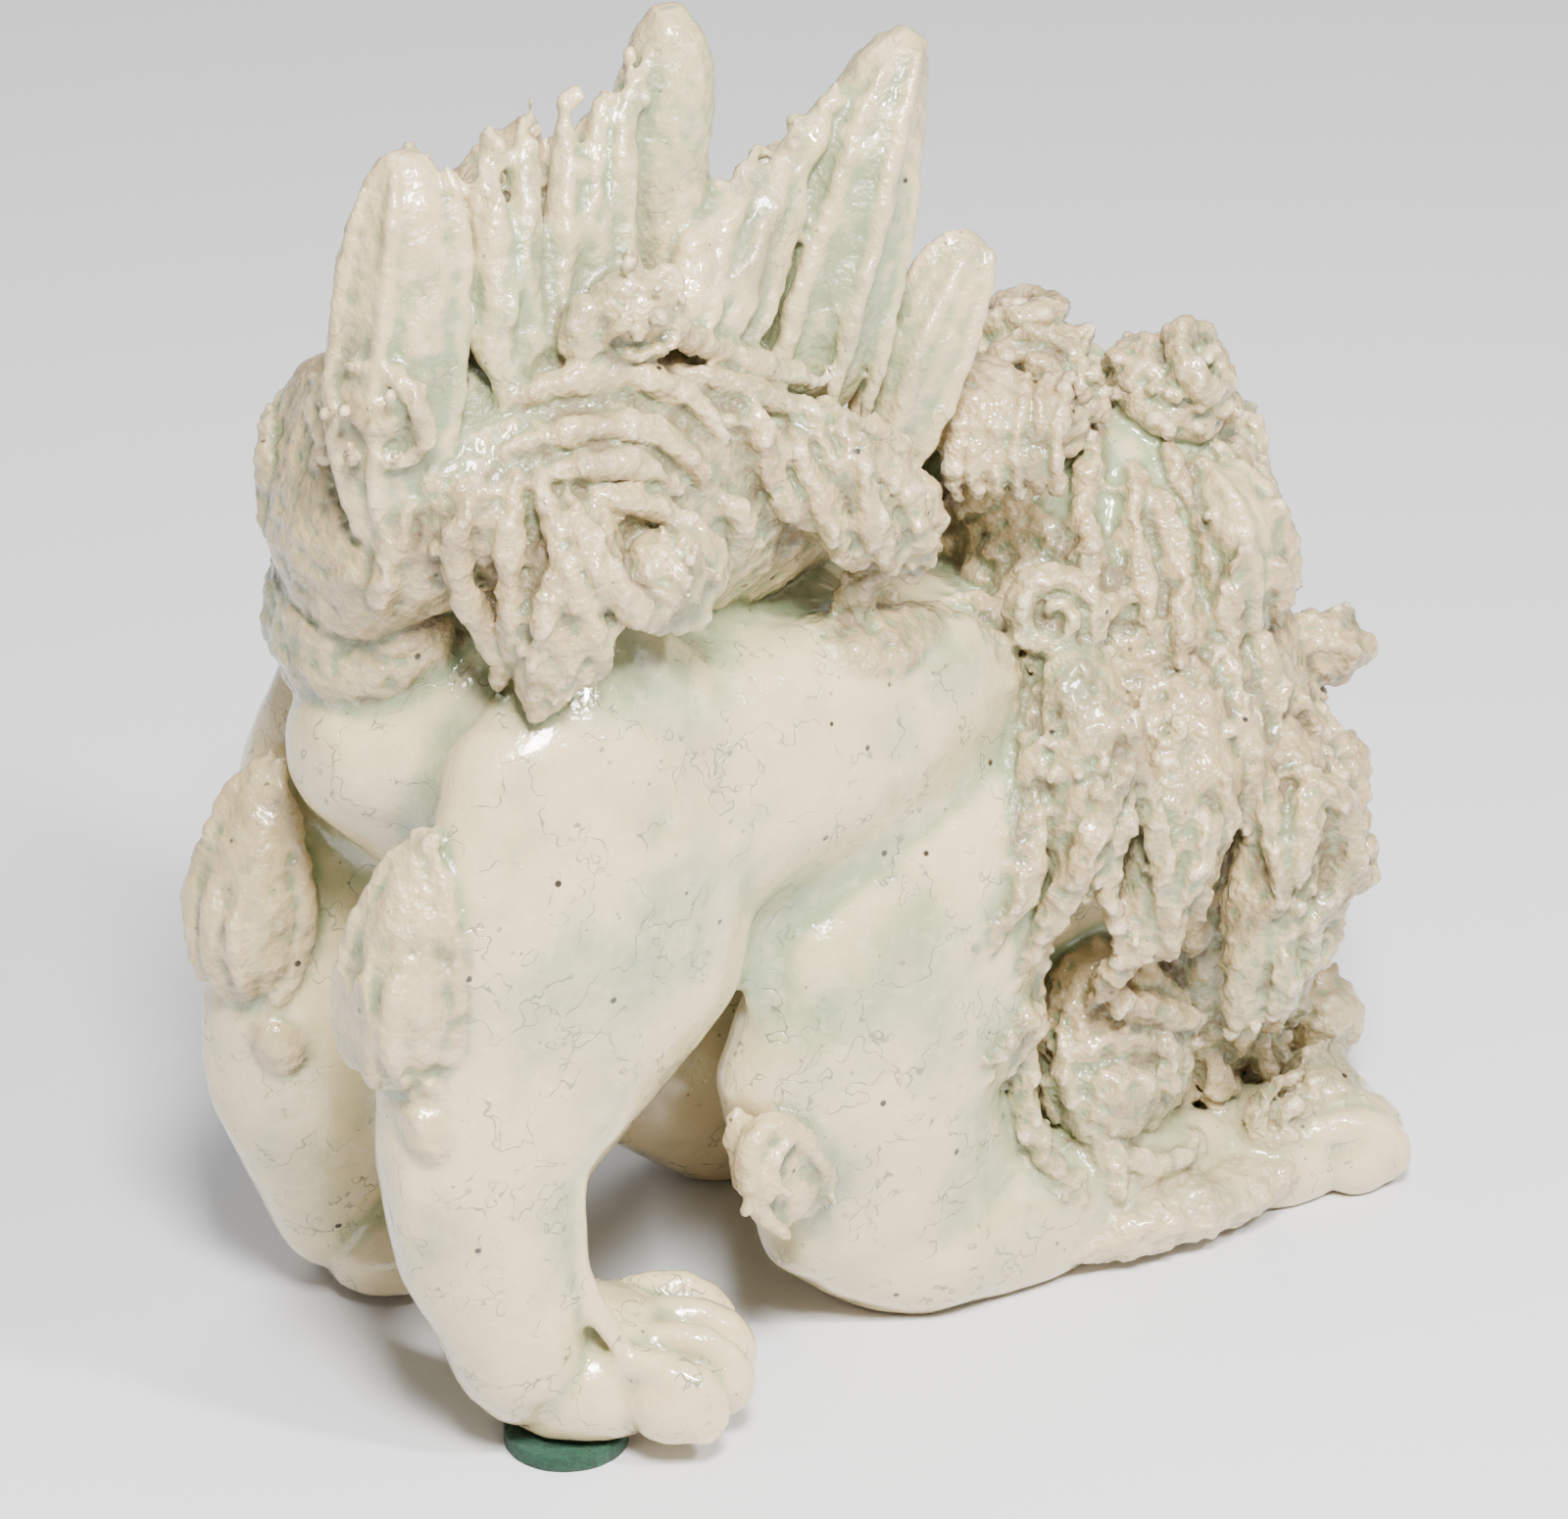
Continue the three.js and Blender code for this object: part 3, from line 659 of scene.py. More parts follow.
class LION_OT_head(Operator):
    """Lays the head and a plain lion's face: lids, cheeks, lips, teeth and ears"""

    bl_idname = "lion.head"
    bl_label = "Head"

    def execute(self, context):
        for node in ("skull", "muzzle", "lower_jaw"):
            copy_of(node, passes=14, swell=0.3, voxel=0.6)
        for node in ("nose", "eye_left", "eye_right", "upper_teeth", "tongue", "brow_left", "brow_right"):
            copy_of(node, passes=4, swell=0.15, voxel=0.45)
        for side, y in SIDES:
            eye = on_head(16, y * 7.3, 5.5)
            lid = []
            for k in range(9):
                angle = math.radians(200 - 220 * k / 8)
                lid.append(eye + CHEEK * math.cos(angle) * 4.6 + CROWN * math.sin(angle) * 4.0)
            rows = [(*(p + FACING * 0.6), 1.0, 0.9) for p in lid]
            roll(f"eye_{side}", rows, side=tuple(FACING), count=16, sides=8, wobble=0.08)
            lower = []
            for k in range(7):
                angle = math.radians(-160 + 140 * k / 6)
                lower.append((*(eye + CHEEK * math.cos(angle) * 4.4 + CROWN * math.sin(angle) * 3.9), 0.8, 0.7))
            roll(f"eye_{side}", lower, side=tuple(FACING), count=10, sides=8, wobble=0.08)
            iris = [(*(eye + FACING * reach), size, size) for reach, size in ((1.5, 1.5), (3.2, 1.5), (3.6, 0.7))]
            roll(f"eye_{side}", iris, side=tuple(CROWN), count=5, sides=10, wobble=0.0, blunt=0.4)
            cheek = [(*on_head(20, y * 9, -1), 3.5, 3.0), (*on_head(23, y * 9.5, -4), 4.2, 3.6),
                     (*on_head(20, y * 11, -8), 2.5, 2.2)]
            roll("muzzle", cheek, side=tuple(CROWN), count=8, sides=12, wobble=0.05)
            lip = [on_head(27, y * 2, -7.5), on_head(24, y * 8, -8.5), on_head(16, y * 12, -8), on_head(8, y * 13, -6)]
            strand("muzzle", lip, 1.3, 1.2, ends=(0.8, 0.5), lift=0.4, tree=tree_of("muzzle"), wobble=0.08)
            jowl = [on_head(25, y * 2, -14), on_head(21, y * 8, -13.5), on_head(12, y * 10, -13)]
            strand("lower_jaw", jowl, 1.2, 1.2, ends=(0.8, 0.5), lift=0.4, tree=tree_of("lower_jaw"), wobble=0.08)
            nostril = [(*on_head(28.5, y * 2.2, 1.4), 1.4, 1.2), (*on_head(28.5, y * 4.6, 2.6), 1.7, 1.4),
                       (*on_head(26, y * 5.8, 3.6), 1.0, 1.0)]
            roll("nose", nostril, side=tuple(CROWN), count=7, sides=10, wobble=0.04)
            fold = [on_head(20, y * 3.5, 4), on_head(22, y * 6.5, 0.5), on_head(17, y * 12, -0.5)]
            strand("skull", fold, 1.2, 1.0, lift=0.3, wobble=0.1)
            ear = f"ear_{side}"
            copy_of(ear, passes=6, swell=0.15, voxel=0.5)
            for k, lean in enumerate((-3.2, 3.2)):
                edge = [on_head(lean * 0.5 - 4, y * 11.5, 16), on_head(lean - 6, y * 17, 12.5),
                        on_head(lean - 7, y * 19.5, 5), on_head(lean * 0.4 - 6, y * 19, -2)]
                strand(ear, edge, 1.1, 1.1, ends=(0.6, 0.5), lift=0.6, tree=tree_of(ear), wobble=0.16, seed=k)
        for k in range(5):
            lean = -6 + 3 * k
            wrinkle = [on_head(19, lean, 12), on_head(15, lean * 1.2, 17), on_head(8, lean * 1.4, 20)]
            strand("skull", wrinkle, 1.2, 1.1, lift=0.2, wobble=0.18, seed=k)
        return {"FINISHED"}


class LION_OT_mane(Operator):
    """Lays the mane: collar, snail curls, leaf locks with torn edges, the ball of curls and the beard"""

    bl_idname = "lion.mane"
    bl_label = "Mane"

    # The ridges of the right shoulder: node, line, half width, half thickness, flutes.
    ridges = [
        ("mane_lock_1", [(17, -5, 67), (13, -13, 62), (11, -19, 54), (6, -23, 47)], 1.5, 1.5, 0),
        ("mane_lock_1", [(13, -5, 67), (17, -10, 64), (22, -13, 66), (27, -14, 68)], 1.8, 1.7, 0),
        ("mane_lock_1", [(15, -17, 62), (13, -20, 55), (8, -23, 46), (3, -24, 42)], 1.6, 1.6, 3),
        ("mane_lock_1", [(20, -16, 62), (17, -21, 54), (13, -24, 46)], 1.4, 1.3, 0),
        ("mane_lock_2", [(18, -25, 58), (13, -25, 50), (10, -24, 42), (8, -23, 36)], 1.5, 1.6, 0),
        ("mane_lock_2", [(19, -25, 58), (21, -26, 48), (23, -26, 37), (25, -25, 31)], 1.5, 1.6, 0),
        ("mane_lock_2", [(18, -26, 54), (16, -27, 46), (15, -26, 37)], 1.2, 1.1, 0),
        ("mane_lock_2", [(25, -18, 60), (24, -24, 53), (24, -27, 45), (27, -27, 37)], 1.6, 1.5, 0),
        ("mane_lock_3", [(30, -19, 62), (31, -23, 54), (32, -26, 45)], 1.6, 1.5, 0),
        ("mane_lock_3", [(34, -19, 63), (34, -24, 53), (35, -27, 43), (34, -28, 37)], 1.6, 1.6, 3),
        ("mane_lock_3", [(38, -24, 49), (42, -28, 46), (41, -27, 40), (37, -28, 36)], 2.0, 1.9, 3),
        ("mane_lock_3", [(37, -28, 37), (38, -27, 30), (34, -26, 25)], 1.4, 1.3, 0),
        ("mane_collar", [(26, -7, 77), (23, -12, 69), (19, -18, 66)], 1.3, 1.5, 0),
        ("mane_collar", [(29, -10, 76), (28, -13, 70), (26, -17, 65)], 1.2, 1.5, 0),
        ("mane_collar", [(33, -11, 76), (31, -16, 68), (28, -20, 61)], 1.3, 1.6, 0),
        ("mane_collar", [(37, -12, 74), (36, -16, 67), (35, -20, 60)], 1.2, 1.5, 0),
        ("mane_lock_4", [(50, -15, 50), (54, -20, 44), (56, -21, 36), (53, -21, 27)], 1.6, 1.6, 3),
        ("mane_lock_4", [(46, -20, 50), (49, -23, 42), (50, -23, 32), (47, -22, 24)], 1.5, 1.5, 0),
        ("mane_lock_4", [(57, -12, 48), (60, -14, 40), (60, -15, 30), (56, -17, 20)], 1.5, 1.6, 0),
        ("mane_lock_5", [(17, -17, 26), (14, -20, 20), (17, -21, 12), (24, -23, 8), (31, -21, 9)], 1.5, 1.6, 0),
        ("mane_lock_5", [(12, -20, 35), (12, -21, 25), (11, -22, 14), (15, -22, 8)], 1.3, 1.4, 0),
        ("mane_lock_5", [(3, -23, 28), (9, -22, 32), (11, -21, 29), (8, -22, 24)], 1.7, 1.7, 0),
        ("mane_lock_5", [(16, -21, 34), (20, -22, 28), (26, -22, 26), (31, -21, 22)], 1.6, 1.7, 0),
    ]
    # Curls that stand out to the front: node, stations.
    barrels = [
        ("mane_lock_4", [(48, -11, 56, 2.5, 2.5), (52, -11, 54, 3.6, 3.4), (56, -10.5, 52, 3.8, 3.4), (58, -10, 51, 2.8, 2.6)]),
        ("mane_lock_4", [(47, -15, 43, 2.5, 2.5), (51, -14, 41.5, 3.4, 3), (55, -13, 40, 3.6, 3), (57, -12, 39.5, 2.4, 2.2)]),
        ("mane_collar", [(52, -10, 9, 4, 4), (56, -9, 9.5, 5, 4.6), (60, -8, 9.5, 4.8, 4.4)]),
        ("mane_collar", [(45, -18, 8, 3, 3), (49, -18, 8, 4.4, 4), (53, -17, 7.5, 3, 3)]),
    ]
    # Snail curls: node, centre, way out, radius, turns, roll radius.
    snails = [
        ("mane_collar", (15, -13, 77), (-0.5, -0.8, 0.3), 5.0, 1.9, 1.8),
        ("mane_lock_3", (42, -27.5, 30), (0.1, -1, 0), 4.0, 1.6, 1.5),
        ("mane_lock_4", (52, -20, 34), (0.7, -0.7, 0), 4.0, 1.6, 1.6),
        ("mane_collar", (40, -22, 14), (0, -1, 0), 4.2, 1.6, 1.6),
        ("mane_collar", (49, -18, 12), (0.3, -0.95, 0), 3.8, 1.6, 1.5),
        ("mane_collar", (57, -9, 12), (0.9, -0.4, 0), 4.6, 1.7, 1.8),
        ("mane_collar", (59, 4, 14), (1, 0.1, 0), 4.4, 1.7, 1.7),
    ]

    def execute(self, context):
        seed = context.scene.lion_clay.seed
        copy_of("mane_collar", passes=10, swell=0.35)
        names = [n for n in NODES if n.startswith(("mane_lock", "beard_lock", "mane_curl"))]
        for node in names:
            copy_of(node, passes=8, swell=0.0)
        for number, (node, line, wide, thick, flutes) in enumerate(self.ridges):
            strand(node, line, wide, thick, flutes=flutes, ends=(0.6, 0.3), lift=0.45, wobble=0.22, seed=number)
            crumbs(node, line, 8 * len(line), 0.62, 1.9, seed=seed + number)
            other = "mane_lock_6" if "mane_lock" in node else node
            strand(other, mirrored(line), wide, thick, flutes=flutes, ends=(0.6, 0.3), lift=0.4, wobble=0.22,
                   seed=number + 50)
            crumbs(other, mirrored(line), 6 * len(line), 0.62, 1.9, seed=seed + number + 60)
        for number, (node, centre, outward, radius, turns, tube) in enumerate(self.snails):
            snail(node, centre, outward, radius, turns, tube, start=number, seed=number)
            crumbs(node, [centre, Vector(centre) + Vector(outward) * 2], 16, 0.7, radius, seed=seed + number + 30)
        for number, outward in enumerate(((0, 0.3, 1), (0.4, -0.7, 0.6), (0.3, -1, 0), (-0.3, 1, 0), (-0.5, -0.6, 0.6))):
            node = f"mane_curl_{number + 1}"
            outward = Vector(outward).normalized()
            snail(node, bench_middle(node) + outward * 3.0, outward, 4.8, 1.7, 1.8, start=number, seed=number + 40)
            crumbs(node, [bench_middle(node), bench_middle(node) + outward * 4], 60, 0.8, 8, seed=seed + number + 80)
        ball = [(17, -17, 19, 4.5, 4.5), (21, -18.5, 17.5, 6, 6), (26, -17.5, 16, 4.5, 4.5)]
        roll("mane_lock_5", ball, count=9, sides=14, wobble=0.08, blunt=0.5)
        hem = [(10, -21, 3.5, 3, 2.5), (22, -23.5, 4.0, 4.2, 3.2), (34, -24, 4, 4, 3), (42, -24.5, 4.5, 2.5, 2.2)]
        roll("mane_collar", hem, count=12, sides=12, wobble=0.06)
        neck = [(24, 0, 74), (34, -2, 58), (40, -3, 42), (43, -4, 26), (44, -4, 12)]
        flames("mane_collar", neck, (-165, -20), 8, 7, 8.5, 1.5, 1.4, seed + 1, rise=0.8)
        flames("mane_collar", neck, (-25, 60), 8, 7, 10, 2.0, 1.7, seed + 2)
        flames("mane_collar", neck, (60, 195), 8, 9, 10.5, 2.1, 1.8, seed + 3)
        nape = [(22, 2, 82), (24, 1, 70)]
        flames("mane_collar", nape, (100, 260), 2, 7, 9, 1.8, 1.6, seed + 4)
        for node in ("beard_lock_1", "beard_lock_2"):
            ribs(node, (0, 0, -1), 8, 1.3, 1.2, start=0.05, stop=0.85, seed=seed, wobble=0.2)
        for number, (node, line) in enumerate(self.barrels):
            roll(node, line, side=(0, 0, 1), count=10, sides=14, flutes=5, depth=0.12, wobble=0.16, blunt=0.4, seed=number)
            crumbs(node, line, 26, 0.7, 5, seed=seed + number + 110)
        self.crown(seed)
        return {"FINISHED"}

    def crown(self, seed):
        """The crust on the crown, the combed lobe behind it, and the flutes down the back of the head."""
        crest = [(27, 8, 85), (32, 2, 88), (38, 0, 86), (43, -3, 83), (47, -2, 79)]
        for node, points, count, spread in (("mane_curl_5", crest[:3], 190, 9), ("mane_curl_2", crest[2:], 150, 8),
                                            ("mane_curl_1", crest[:3], 90, 9), ("skull", crest, 60, 12)):
            crumbs(node, points, count, 0.85, spread, seed=seed + count)
        lobe = [(19, -2, 86, 3, 3), (15, -5, 87, 6, 5), (13, -7, 85, 5, 5.5), (12.5, -8, 82, 2.5, 3)]
        roll("mane_curl_5", lobe, side=(0.82, -0.57, 0), count=12, sides=18, wobble=0.04, blunt=0.4)
        for k in range(6):
            shift = Vector((0.82, -0.57, 0)) * (1.9 * k - 4.5)
            comb = [(*(Vector(p) + shift), 0.8, 0.8) for p in ((17, -8, 91), (13.5, -11, 88.5), (12, -12.5, 84), (13, -12, 80.5))]
            roll("mane_curl_5", comb, side=(0.82, -0.57, 0), count=9, sides=8, wobble=0.15, seed=k)
        head = [tuple(HEAD + CROWN * 14), tuple(HEAD + CROWN * 6), tuple(HEAD - CROWN * 2), tuple(HEAD - CROWN * 9)]
        flames("mane_collar", head, (150, 345), 4, 13, 10, 1.3, 1.5, seed + 21, sway=0.2, rise=0.6)
        flames("mane_collar", head, (95, 150), 4, 5, 10, 1.5, 1.5, seed + 22, rise=0.8)


class LION_OT_tail(Operator):
    """Lays the tail bush with its arcs, plumes, fluted webs, bosses and hanging locks"""

    bl_idname = "lion.tail"
    bl_label = "Tail"

    # Arcs and drawn ridges on the bush's right side: line, half width, half thickness.
    arcs = [
        ([(-43, -11, 103), (-37, -12, 104), (-30, -13, 104), (-25, -14, 101), (-22, -17, 96)], 1.5, 1.7),
        ([(-44, -13, 100), (-38, -15, 101), (-31, -16, 101), (-27, -17, 97), (-25, -18, 93)], 1.4, 1.5),
        ([(-41, -16, 98), (-36, -17, 98.5), (-32, -18, 98), (-28, -19, 94)], 1.3, 1.3),
        ([(-40, -18, 95), (-36, -19, 95.5), (-32, -20, 95), (-28, -20, 91)], 1.2, 1.2),
        ([(-28, -15, 108), (-20, -12, 105), (-14, -12, 101), (-8, -12, 97)], 1.4, 1.4),
        ([(-24, -13, 103), (-18, -14, 100), (-13, -15, 97), (-12, -18, 92)], 1.3, 1.3),
        ([(-22, -16, 99), (-18, -17, 97), (-16, -19, 92)], 1.1, 1.1),
        ([(-43, -15, 99), (-46, -18, 93), (-45, -19, 85), (-42, -19, 79)], 1.4, 1.3),
        ([(-41, -15, 99), (-43, -21, 94), (-41, -23, 86), (-38, -22, 80)], 1.3, 1.3),
        ([(-47, -14, 98), (-50, -15, 92), (-49, -15, 84), (-46, -14, 78)], 1.4, 1.3),
        ([(-50, -10, 97), (-54, -10, 90), (-54, -9, 83)], 1.3, 1.2),
        ([(-41, -20, 98), (-40, -24, 93), (-38, -25, 88), (-35, -25, 83)], 1.6, 1.6),
        ([(-30, -20, 95), (-26, -22, 90), (-27, -22, 84), (-31, -22, 80)], 1.4, 1.4),
        ([(-24, -18, 93), (-21, -20, 88), (-22, -20, 82)], 1.3, 1.2),
    ]
    # Flutes of the webs that fan up between the plumes: node, line.
    webs = [
        ("tail_plume_2", [(-41, -10, 106), (-42.5, -6, 113), (-41, -2, 122)], 1.6),
        ("tail_plume_2", [(-41, -9, 110), (-39.5, -6, 118), (-37.5, -2, 124)], 1.8),
        ("tail_plume_2", [(-38, -9, 108), (-36, -6, 118), (-33.5, -2, 126)], 1.7),
        ("tail_plume_2", [(-35, -9, 108), (-32, -6, 117), (-29, -2, 125.5)], 1.9),
        ("tail_plume_2", [(-32, -9, 107), (-29, -6, 117), (-25.5, -2, 126)], 1.7),
        ("tail_plume_2", [(-29, -9, 107), (-26, -6, 118), (-22, -2, 128)], 1.6),
        ("tail_plume_5", [(-42, -3, 106), (-38, 0, 114), (-35, 3, 119)], 3.0),
        ("tail_plume_5", [(-36, -3, 106), (-32, 0, 115), (-29, 2, 120)], 3.2),
        ("tail_plume_2", [(-30, -5, 104), (-28, -3, 115), (-24, -1, 124)], 4.5),
        ("tail_plume_3", [(-22, -10, 108), (-18.5, -7, 112), (-15, -4, 115)], 1.8),
        ("tail_plume_3", [(-20, -10, 107), (-15, -7, 112.5), (-10, -4, 117.5)], 1.8),
        ("tail_plume_3", [(-17, -10, 106), (-11.5, -7, 113), (-5, -4, 119)], 1.9),
        ("tail_plume_3", [(-13.5, -9, 105), (-7.5, -6, 114), (-1, -3, 121.5)], 1.8),
        ("tail_plume_3", [(-18, -5, 104), (-12, -4, 110), (-6, -3, 115)], 4.0),
        ("tail_plume_6", [(-22, -4, 104), (-14, 2, 108), (-6, 5, 110)], 2.6),
    ]
    # The plumes: their stations from root to tip, then the ridges drawn up them.
    horns = {
        "tail_plume_1": (
            [(-53, -8, 91, 2, 2), (-52, -8, 98, 4, 3.5), (-51, -7, 105, 5.8, 4.5), (-49, -6, 114, 5.8, 4.5),
             (-47.5, -5, 121, 4.8, 4), (-47, -4, 126, 3.4, 3)],
            [(-150, 0.15, 0.8, 0.9), (-100, 0.2, 0.9, 0.9), (-15, 0.1, 0.88, 1.4), (150, 0.1, 0.8, 1.0)]),
        "tail_plume_2": (
            [(-22, -3, 98, 6, 5), (-20.5, -2.5, 106, 5.4, 5), (-19.5, -2, 113, 4.8, 4.6), (-18.5, -1.5, 120, 4.4, 4.2),
             (-17.5, -1, 126, 4.2, 3.8), (-17, -0.5, 129.5, 3.4, 3.2), (-16.5, 0, 132, 2.4, 2.4)],
            [(-120, 0.1, 0.7, 0.9), (-165, 0.1, 0.65, 1.0), (-80, 0.1, 0.4, 0.8)]),
        "tail_plume_3": (
            [(-8, -5, 92, 8, 6), (-4.5, -4.5, 101, 8, 6.2), (-1, -4, 108, 7, 5.8), (2, -3.5, 115, 5.8, 5),
             (5.5, -3, 121, 4.2, 4), (8.5, -2.5, 124.8, 2.6, 2.6)],
            [(-60, 0.15, 0.85, 1.1), (-100, 0.1, 0.75, 1.0), (-135, 0.1, 0.6, 1.2), (-165, 0.1, 0.55, 1.2),
             (-20, 0.1, 0.6, 0.8)]),
        "tail_plume_4": (
            [(-1, -9, 82, 1.5, 1.5), (1, -9, 87, 3, 2.6), (3.5, -8.5, 92.5, 4.2, 3.2), (7, -8, 98.5, 4.2, 3.2),
             (10, -8, 103, 3.2, 2.6), (12, -8, 106, 1.8, 1.6)],
            [(-20, 0.1, 0.9, 1.0), (-90, 0.1, 0.8, 0.9), (-160, 0.1, 0.9, 1.1)]),
    }
    # The serrated tuft that hangs forward: node line.
    serrated = [
        [(-18, -13, 100), (-19, -17, 96), (-17, -18, 91), (-13, -18, 87)],
        [(-13, -11, 98), (-14, -17, 94), (-12, -18, 88), (-9, -18, 83)],
        [(-9, -11, 96), (-10, -18, 92), (-8, -18, 86), (-5, -18, 81)],
        [(-6, -11, 93), (-6, -18, 89), (-4, -18, 84), (-1, -17, 79)],
        [(-3, -11, 90), (-2, -16, 86), (0, -16, 81)],
    ]

    def execute(self, context):
        seed = context.scene.lion_clay.seed + 100
        copy_of("tail_bush", passes=10, swell=0.3)
        root = [(-47, 3, 88, 10, 9), (-47, 3, 78, 11, 9.5), (-45, 2, 68, 10, 8)]
        roll("tail_bush", root, count=10, sides=20, wobble=0.06, blunt=0.4)
        for number, (node, (stations, ridges)) in enumerate(self.horns.items()):
            horn(node, stations, ridges, seed=seed + number)
        for number, node in enumerate(("tail_plume_5", "tail_plume_6")):
            copy_of(node, passes=7, swell=0.1)
            ribs(node, (0.5, 0, 1), 8, 1.25, 1.05, stop=0.8, phase=20 * number, seed=seed + number, wobble=0.18)
        knobs = [(-52, 3, 113), (-53.5, 1, 108), (-54, 0, 102)]
        crumbs("tail_plume_1", knobs, 60, 1.0, 3.5, seed=seed + 5)
        crumbs("tail_plume_1", [(-47.5, -6, 125), (-47.5, -6, 128)], 14, 0.7, 3, seed=seed + 6)
        for side, y in SIDES:
            for number in (1, 2):
                node = f"tail_lock_{side}_{number}"
                copy_of(node, passes=6, swell=0.0)
                down = (0.5, 0, -1) if number == 1 else (-0.5, 0, -1)
                ribs(node, down, 7, 1.3, 1.2, stop=0.92, seed=seed + number, wobble=0.22)
        for number, (line, wide, thick) in enumerate(self.arcs):
            for side, y in SIDES:
                points = line if y < 0 else mirrored(line)
                strand("tail_bush", points, wide, thick, ends=(0.5, 0.4), lift=0.5, wobble=0.16, count=13,
                       seed=number + y)
                crumbs("tail_bush", points, 16, 0.5, 1.8, seed=seed + number + 40 * (y > 0))
        for number, (node, line, size) in enumerate(self.webs):
            root = Vector(line[0]) * 1.5 - Vector(line[1]) * 0.5 + Vector((0, 2, 0))
            rows = [(*p, size * share, size * share) for p, share in zip((root, *line), (1.0, 1.1, 1.0, 0.7))]
            roll(node, rows, side=(0.82, -0.57, 0), count=14, sides=10, wobble=0.3, seed=number)
            crumbs(node, line[1:], 18, 0.7, 2.2, seed=seed + number + 90, tree=tree_of(node))
            self.ragged(node, rows, seed + number)
        for number, line in enumerate(self.serrated):
            for side, y in SIDES:
                points = line if y < 0 else mirrored(line)
                strand(f"tail_lock_{side}_1", points, 1.3, 1.6, ends=(0.5, 0.8), lift=0.6, wobble=0.3,
                       seed=number + 3)
                crumbs(f"tail_lock_{side}_1", points[-2:], 22, 0.8, 2.0, seed=seed + number + 70 * (y > 0))
        self.bosses(seed)
        return {"FINISHED"}

    def ragged(self, node, rows, seed):
        """Torn crumbs along the free edge of a web."""
        dice = random.Random(seed)
        for place in smooth_line(rows[1:], 8)[2:]:
            x, y, z, size, _ = place
            x, y, z = x + dice.uniform(-1, 1), y + dice.uniform(-1, 1), z + dice.uniform(-0.5, 1.0)
            r = dice.uniform(0.6, 1.1)
            roll(node, [(x, y, z - r, r * 0.8, r * 0.7), (x + 0.4, y, z, r, r * 0.8), (x + 1, y, z + r, r * 0.5, r * 0.5)],
                 count=5, sides=7, wobble=0.4, seed=int(9 * x))

    def bosses(self, seed):
        """The round curls at the roots of the plumes, each with a rolled rim on one side."""
        for number in range(1, 5):
            node = f"tail_boss_{number}"
            copy_of(node, passes=5, swell=-(0.9, 0.4, 1.4, 0.0)[number - 1], voxel=0.5)
            centre = bench_middle(node)
            outward = Vector(((-0.1, -1, 0.2), (0, -1, 0), (-0.8, -0.6, 0), (-0.8, 0.6, 0))[number - 1]).normalized()
            east = outward.cross(Vector((0, 0, 1))).normalized()
            north = east.cross(outward)
            rows = []
            for k in range(10):
                angle = math.radians(150 - 30 * number + 25 * k)
                place = centre + outward * 0.8 + (east * math.cos(angle) + north * math.sin(angle)) * 4.1
                rows.append((*place, 1.1, 1.2))
            roll(node, rows, side=tuple(outward), count=12, sides=8, wobble=0.3, seed=number)
            crumbs(node, [centre, centre + outward * 4], 22, 0.6, 5, seed=seed + number, tree=tree_of(node))
        small = bench_middle("tail_boss_1") + Vector((-4.8, 0.5, -1.5))
        roll("tail_boss_1", [(*(small + Vector((0, 0, z))), r, r) for z, r in ((-3.5, 1.4), (0, 2.4), (3.5, 1.4))],
             side=(1, 0, 0), count=8, wobble=0.12)


# ---- Operator: firing ------------------------------------------------------------------------------
def values_of(piece, kind="co"):
    """The points or normals of a piece's vertices, as an array."""
    out = np.empty(len(piece.data.vertices) * 3)
    if kind == "co":
        piece.data.vertices.foreach_get("co", out)
    else:
        piece.data.vertex_normals.foreach_get("vector", out)
    return out.reshape(-1, 3)


def edges_of(piece):
    """The vertex pairs of a piece's edges."""
    pairs = np.empty(len(piece.data.edges) * 2, np.int64)
    piece.data.edges.foreach_get("vertices", pairs)
    return pairs.reshape(-1, 2)


def relax(values, pairs, passes, share=0.5):
    """Evens out values over a mesh's edges."""
    values = values.reshape(len(values), -1).copy()
    a, b = pairs.T
    count = np.bincount(a, minlength=len(values)) + np.bincount(b, minlength=len(values))
    count = np.maximum(count, 1)
    for _ in range(passes):
        for column in range(values.shape[1]):
            v = values[:, column]
            total = np.bincount(a, v[b], len(v)) + np.bincount(b, v[a], len(v))
            values[:, column] = v * (1 - share) + total / count * share
    return values.squeeze()


def group(piece, name, weights):
    """A vertex group with these weights, in sixteen steps."""
    made = piece.vertex_groups.new(name=name)
    steps = np.round(np.clip(weights, 0, 1) * 16).astype(int)
    for step in range(1, 17):
        made.add(np.flatnonzero(steps == step).tolist(), step / 16, "REPLACE")
    return made


def relief(piece, name, kind, size, strength, where="", middle=0.5, **settings):
    """Pushes the skin out by a cloud or cell pattern of this size in metres."""
    texture = bpy.data.textures.new(name, kind)
    texture.noise_scale = size
    for setting, value in settings.items():
        setattr(texture, setting, value)
    modify(piece, "DISPLACE", texture=texture, texture_coords="LOCAL", strength=strength, mid_level=middle,
           vertex_group=where)


def attribute(piece, name, values):
    """Stores a value for each vertex, for the material to read."""
    layer = piece.data.attributes.new(name, "FLOAT", "POINT")
    layer.data.foreach_set("value", np.ascontiguousarray(values, np.float32))


# How torn the hair of each group of nodes is.
HAIR = {
    "mane": 1.0, "beard": 1.0, "tail_bush": 0.85, "tail_lock": 1.0, "tail_boss": 0.8, "tail_plume_5": 0.9,
    "tail_plume_6": 0.9, "tail_plume": 0.45, "hock_tuft": 0.6, "elbow_tuft": 0.6, "brow": 0.8, "ear": 0.5,
}


def hairiness(node):
    """How torn a node's hair is, from 0 to 1."""
    return next((share for start, share in HAIR.items() if node.startswith(start)), 0.0)


# The most triangles that one piece may have.
MOST_TRIANGLES = 180000
